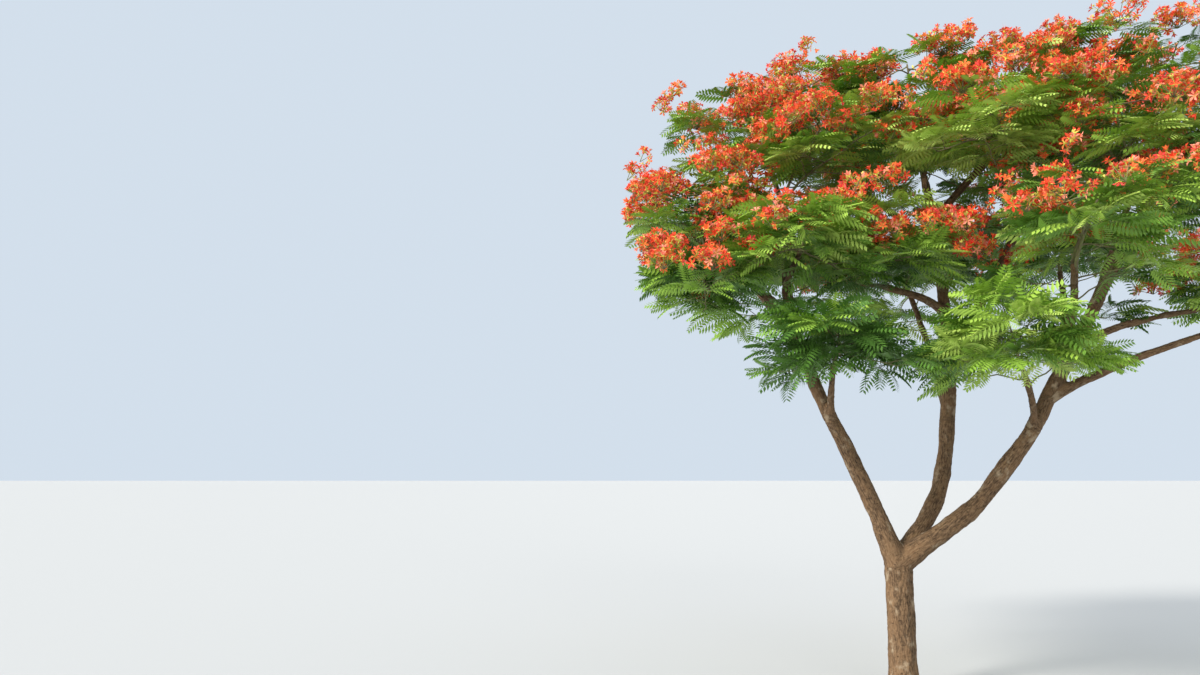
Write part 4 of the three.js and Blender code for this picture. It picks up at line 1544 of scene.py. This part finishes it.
# Lights: name, where it shines from, softness in degrees, strength as a share of the key light's, colour
LIGHTS = (
    ("key", (-8.5, -6.0, 6.6), 14.0, 1.0, (1.0, 0.96, 0.9)),
    ("side", (-9.0, -2.5, 1.9), 20.0, 0.52, (1.0, 0.96, 0.9)),
    ("fill", (1.0, -9.0, 2.6), 40.0, 0.3, (1.0, 0.98, 0.94)),
    ("rim", (2.0, 9.0, 7.0), 30.0, 0.3, (1.0, 0.98, 0.95)),
)


def make_stage(settings):
    scene = bpy.context.scene
    half = FLOOR_SIZE / 2
    material, tree, shader = new_material("Floor")
    feed(tree, shader, {"Base Color": rgba(settings.floor), "Roughness": FLOOR_ROUGHNESS})
    corners = [(-half, -half, 0), (half, -half, 0), (half, half, 0), (-half, half, 0)]
    new_piece("floor", corners, [(0, 1, 2, 3)], material)

    lens = bpy.data.cameras.new("camera")
    lens.lens = settings.lens
    lens.sensor_width = SENSOR_WIDTH
    lens.clip_end = SIGHT
    camera = new_object("camera", lens)
    camera.location = (CAMERA_X, CAMERA_Y, settings.height)
    camera.rotation_euler = (0.5 * math.pi + settings.pitch, 0, 0)
    scene.camera = camera

    for name, direction, softness, share, colour in LIGHTS:
        lamp = bpy.data.lights.new(name, "SUN")
        lamp.angle = math.radians(softness)
        lamp.energy = settings.key * share
        lamp.color = colour
        light = new_object(name, lamp)
        light.location = direction
        light.rotation_euler = (-Vector(direction)).to_track_quat("-Z", "Y").to_euler()

    world = bpy.data.worlds.new("studio")
    world.use_nodes = True
    backdrop = world.node_tree.nodes["Background"]
    feed(world.node_tree, backdrop, {"Color": rgba(settings.backdrop), "Strength": settings.ambient})
    scene.world = world
    scene.view_settings.view_transform = "Standard"


# Operators and panel
class FLAMETREE_OT_stage(bpy.types.Operator):
    """Set up the floor, the camera and the lights"""

    bl_idname = "flame_tree.stage"
    bl_label = "Set the stage"

    def execute(self, context):
        make_stage(context.scene.flame_tree_stage)
        return {"FINISHED"}


class FLAMETREE_OT_bark(bpy.types.Operator):
    """Grow the barked trunk, boughs and limbs"""

    bl_idname = "flame_tree.bark"
    bl_label = "Grow the bark"

    def execute(self, context):
        make_bark(context.scene.flame_tree_bark)
        return {"FINISHED"}


class FLAMETREE_OT_twigs(bpy.types.Operator):
    """Grow the stems, twigs, sprigs and flowering stalks"""

    bl_idname = "flame_tree.twigs"
    bl_label = "Grow the twigs"

    def execute(self, context):
        make_twigs(context.scene.flame_tree_bark, context.scene.flame_tree_leaves)
        return {"FINISHED"}


class FLAMETREE_OT_leaves(bpy.types.Operator):
    """Deal out the feathery leaves over the sprigs"""

    bl_idname = "flame_tree.leaves"
    bl_label = "Grow the leaves"

    def execute(self, context):
        make_leaves(context.scene.flame_tree_leaves)
        return {"FINISHED"}


class FLAMETREE_OT_blossom(bpy.types.Operator):
    """Deal out the flowers and buds over the trusses"""

    bl_idname = "flame_tree.blossom"
    bl_label = "Grow the blossom"

    def execute(self, context):
        make_blossom(context.scene.flame_tree_blossom)
        return {"FINISHED"}


STEPS = (
    FLAMETREE_OT_stage, FLAMETREE_OT_bark, FLAMETREE_OT_twigs, FLAMETREE_OT_leaves, FLAMETREE_OT_blossom,
)
SETTINGS = {
    "flame_tree_stage": StageSettings,
    "flame_tree_bark": BarkSettings,
    "flame_tree_leaves": LeafSettings,
    "flame_tree_blossom": BlossomSettings,
}


class FLAMETREE_PT_panel(bpy.types.Panel):
    """Lists the steps and their settings"""

    bl_idname = "FLAMETREE_PT_panel"
    bl_label = "Flame tree"
    bl_space_type = "VIEW_3D"
    bl_region_type = "UI"
    bl_category = "Flame tree"

    def draw(self, context):
        for step in STEPS:
            self.layout.operator(step.bl_idname)
        for name, group in SETTINGS.items():
            box = self.layout.box()
            for key in group.__annotations__:
                box.prop(getattr(context.scene, name), key)


CLASSES = (*SETTINGS.values(), *STEPS, FLAMETREE_PT_panel)


def register():
    for cls in CLASSES:
        bpy.utils.register_class(cls)
    for name, group in SETTINGS.items():
        setattr(bpy.types.Scene, name, PointerProperty(type=group))


def unregister():
    for name in SETTINGS:
        delattr(bpy.types.Scene, name)
    for cls in reversed(CLASSES):
        bpy.utils.unregister_class(cls)


def main():
    register()
    for step in STEPS:
        family, name = step.bl_idname.split(".")
        getattr(getattr(bpy.ops, family), name)()


if __name__ == "__main__":
    main()
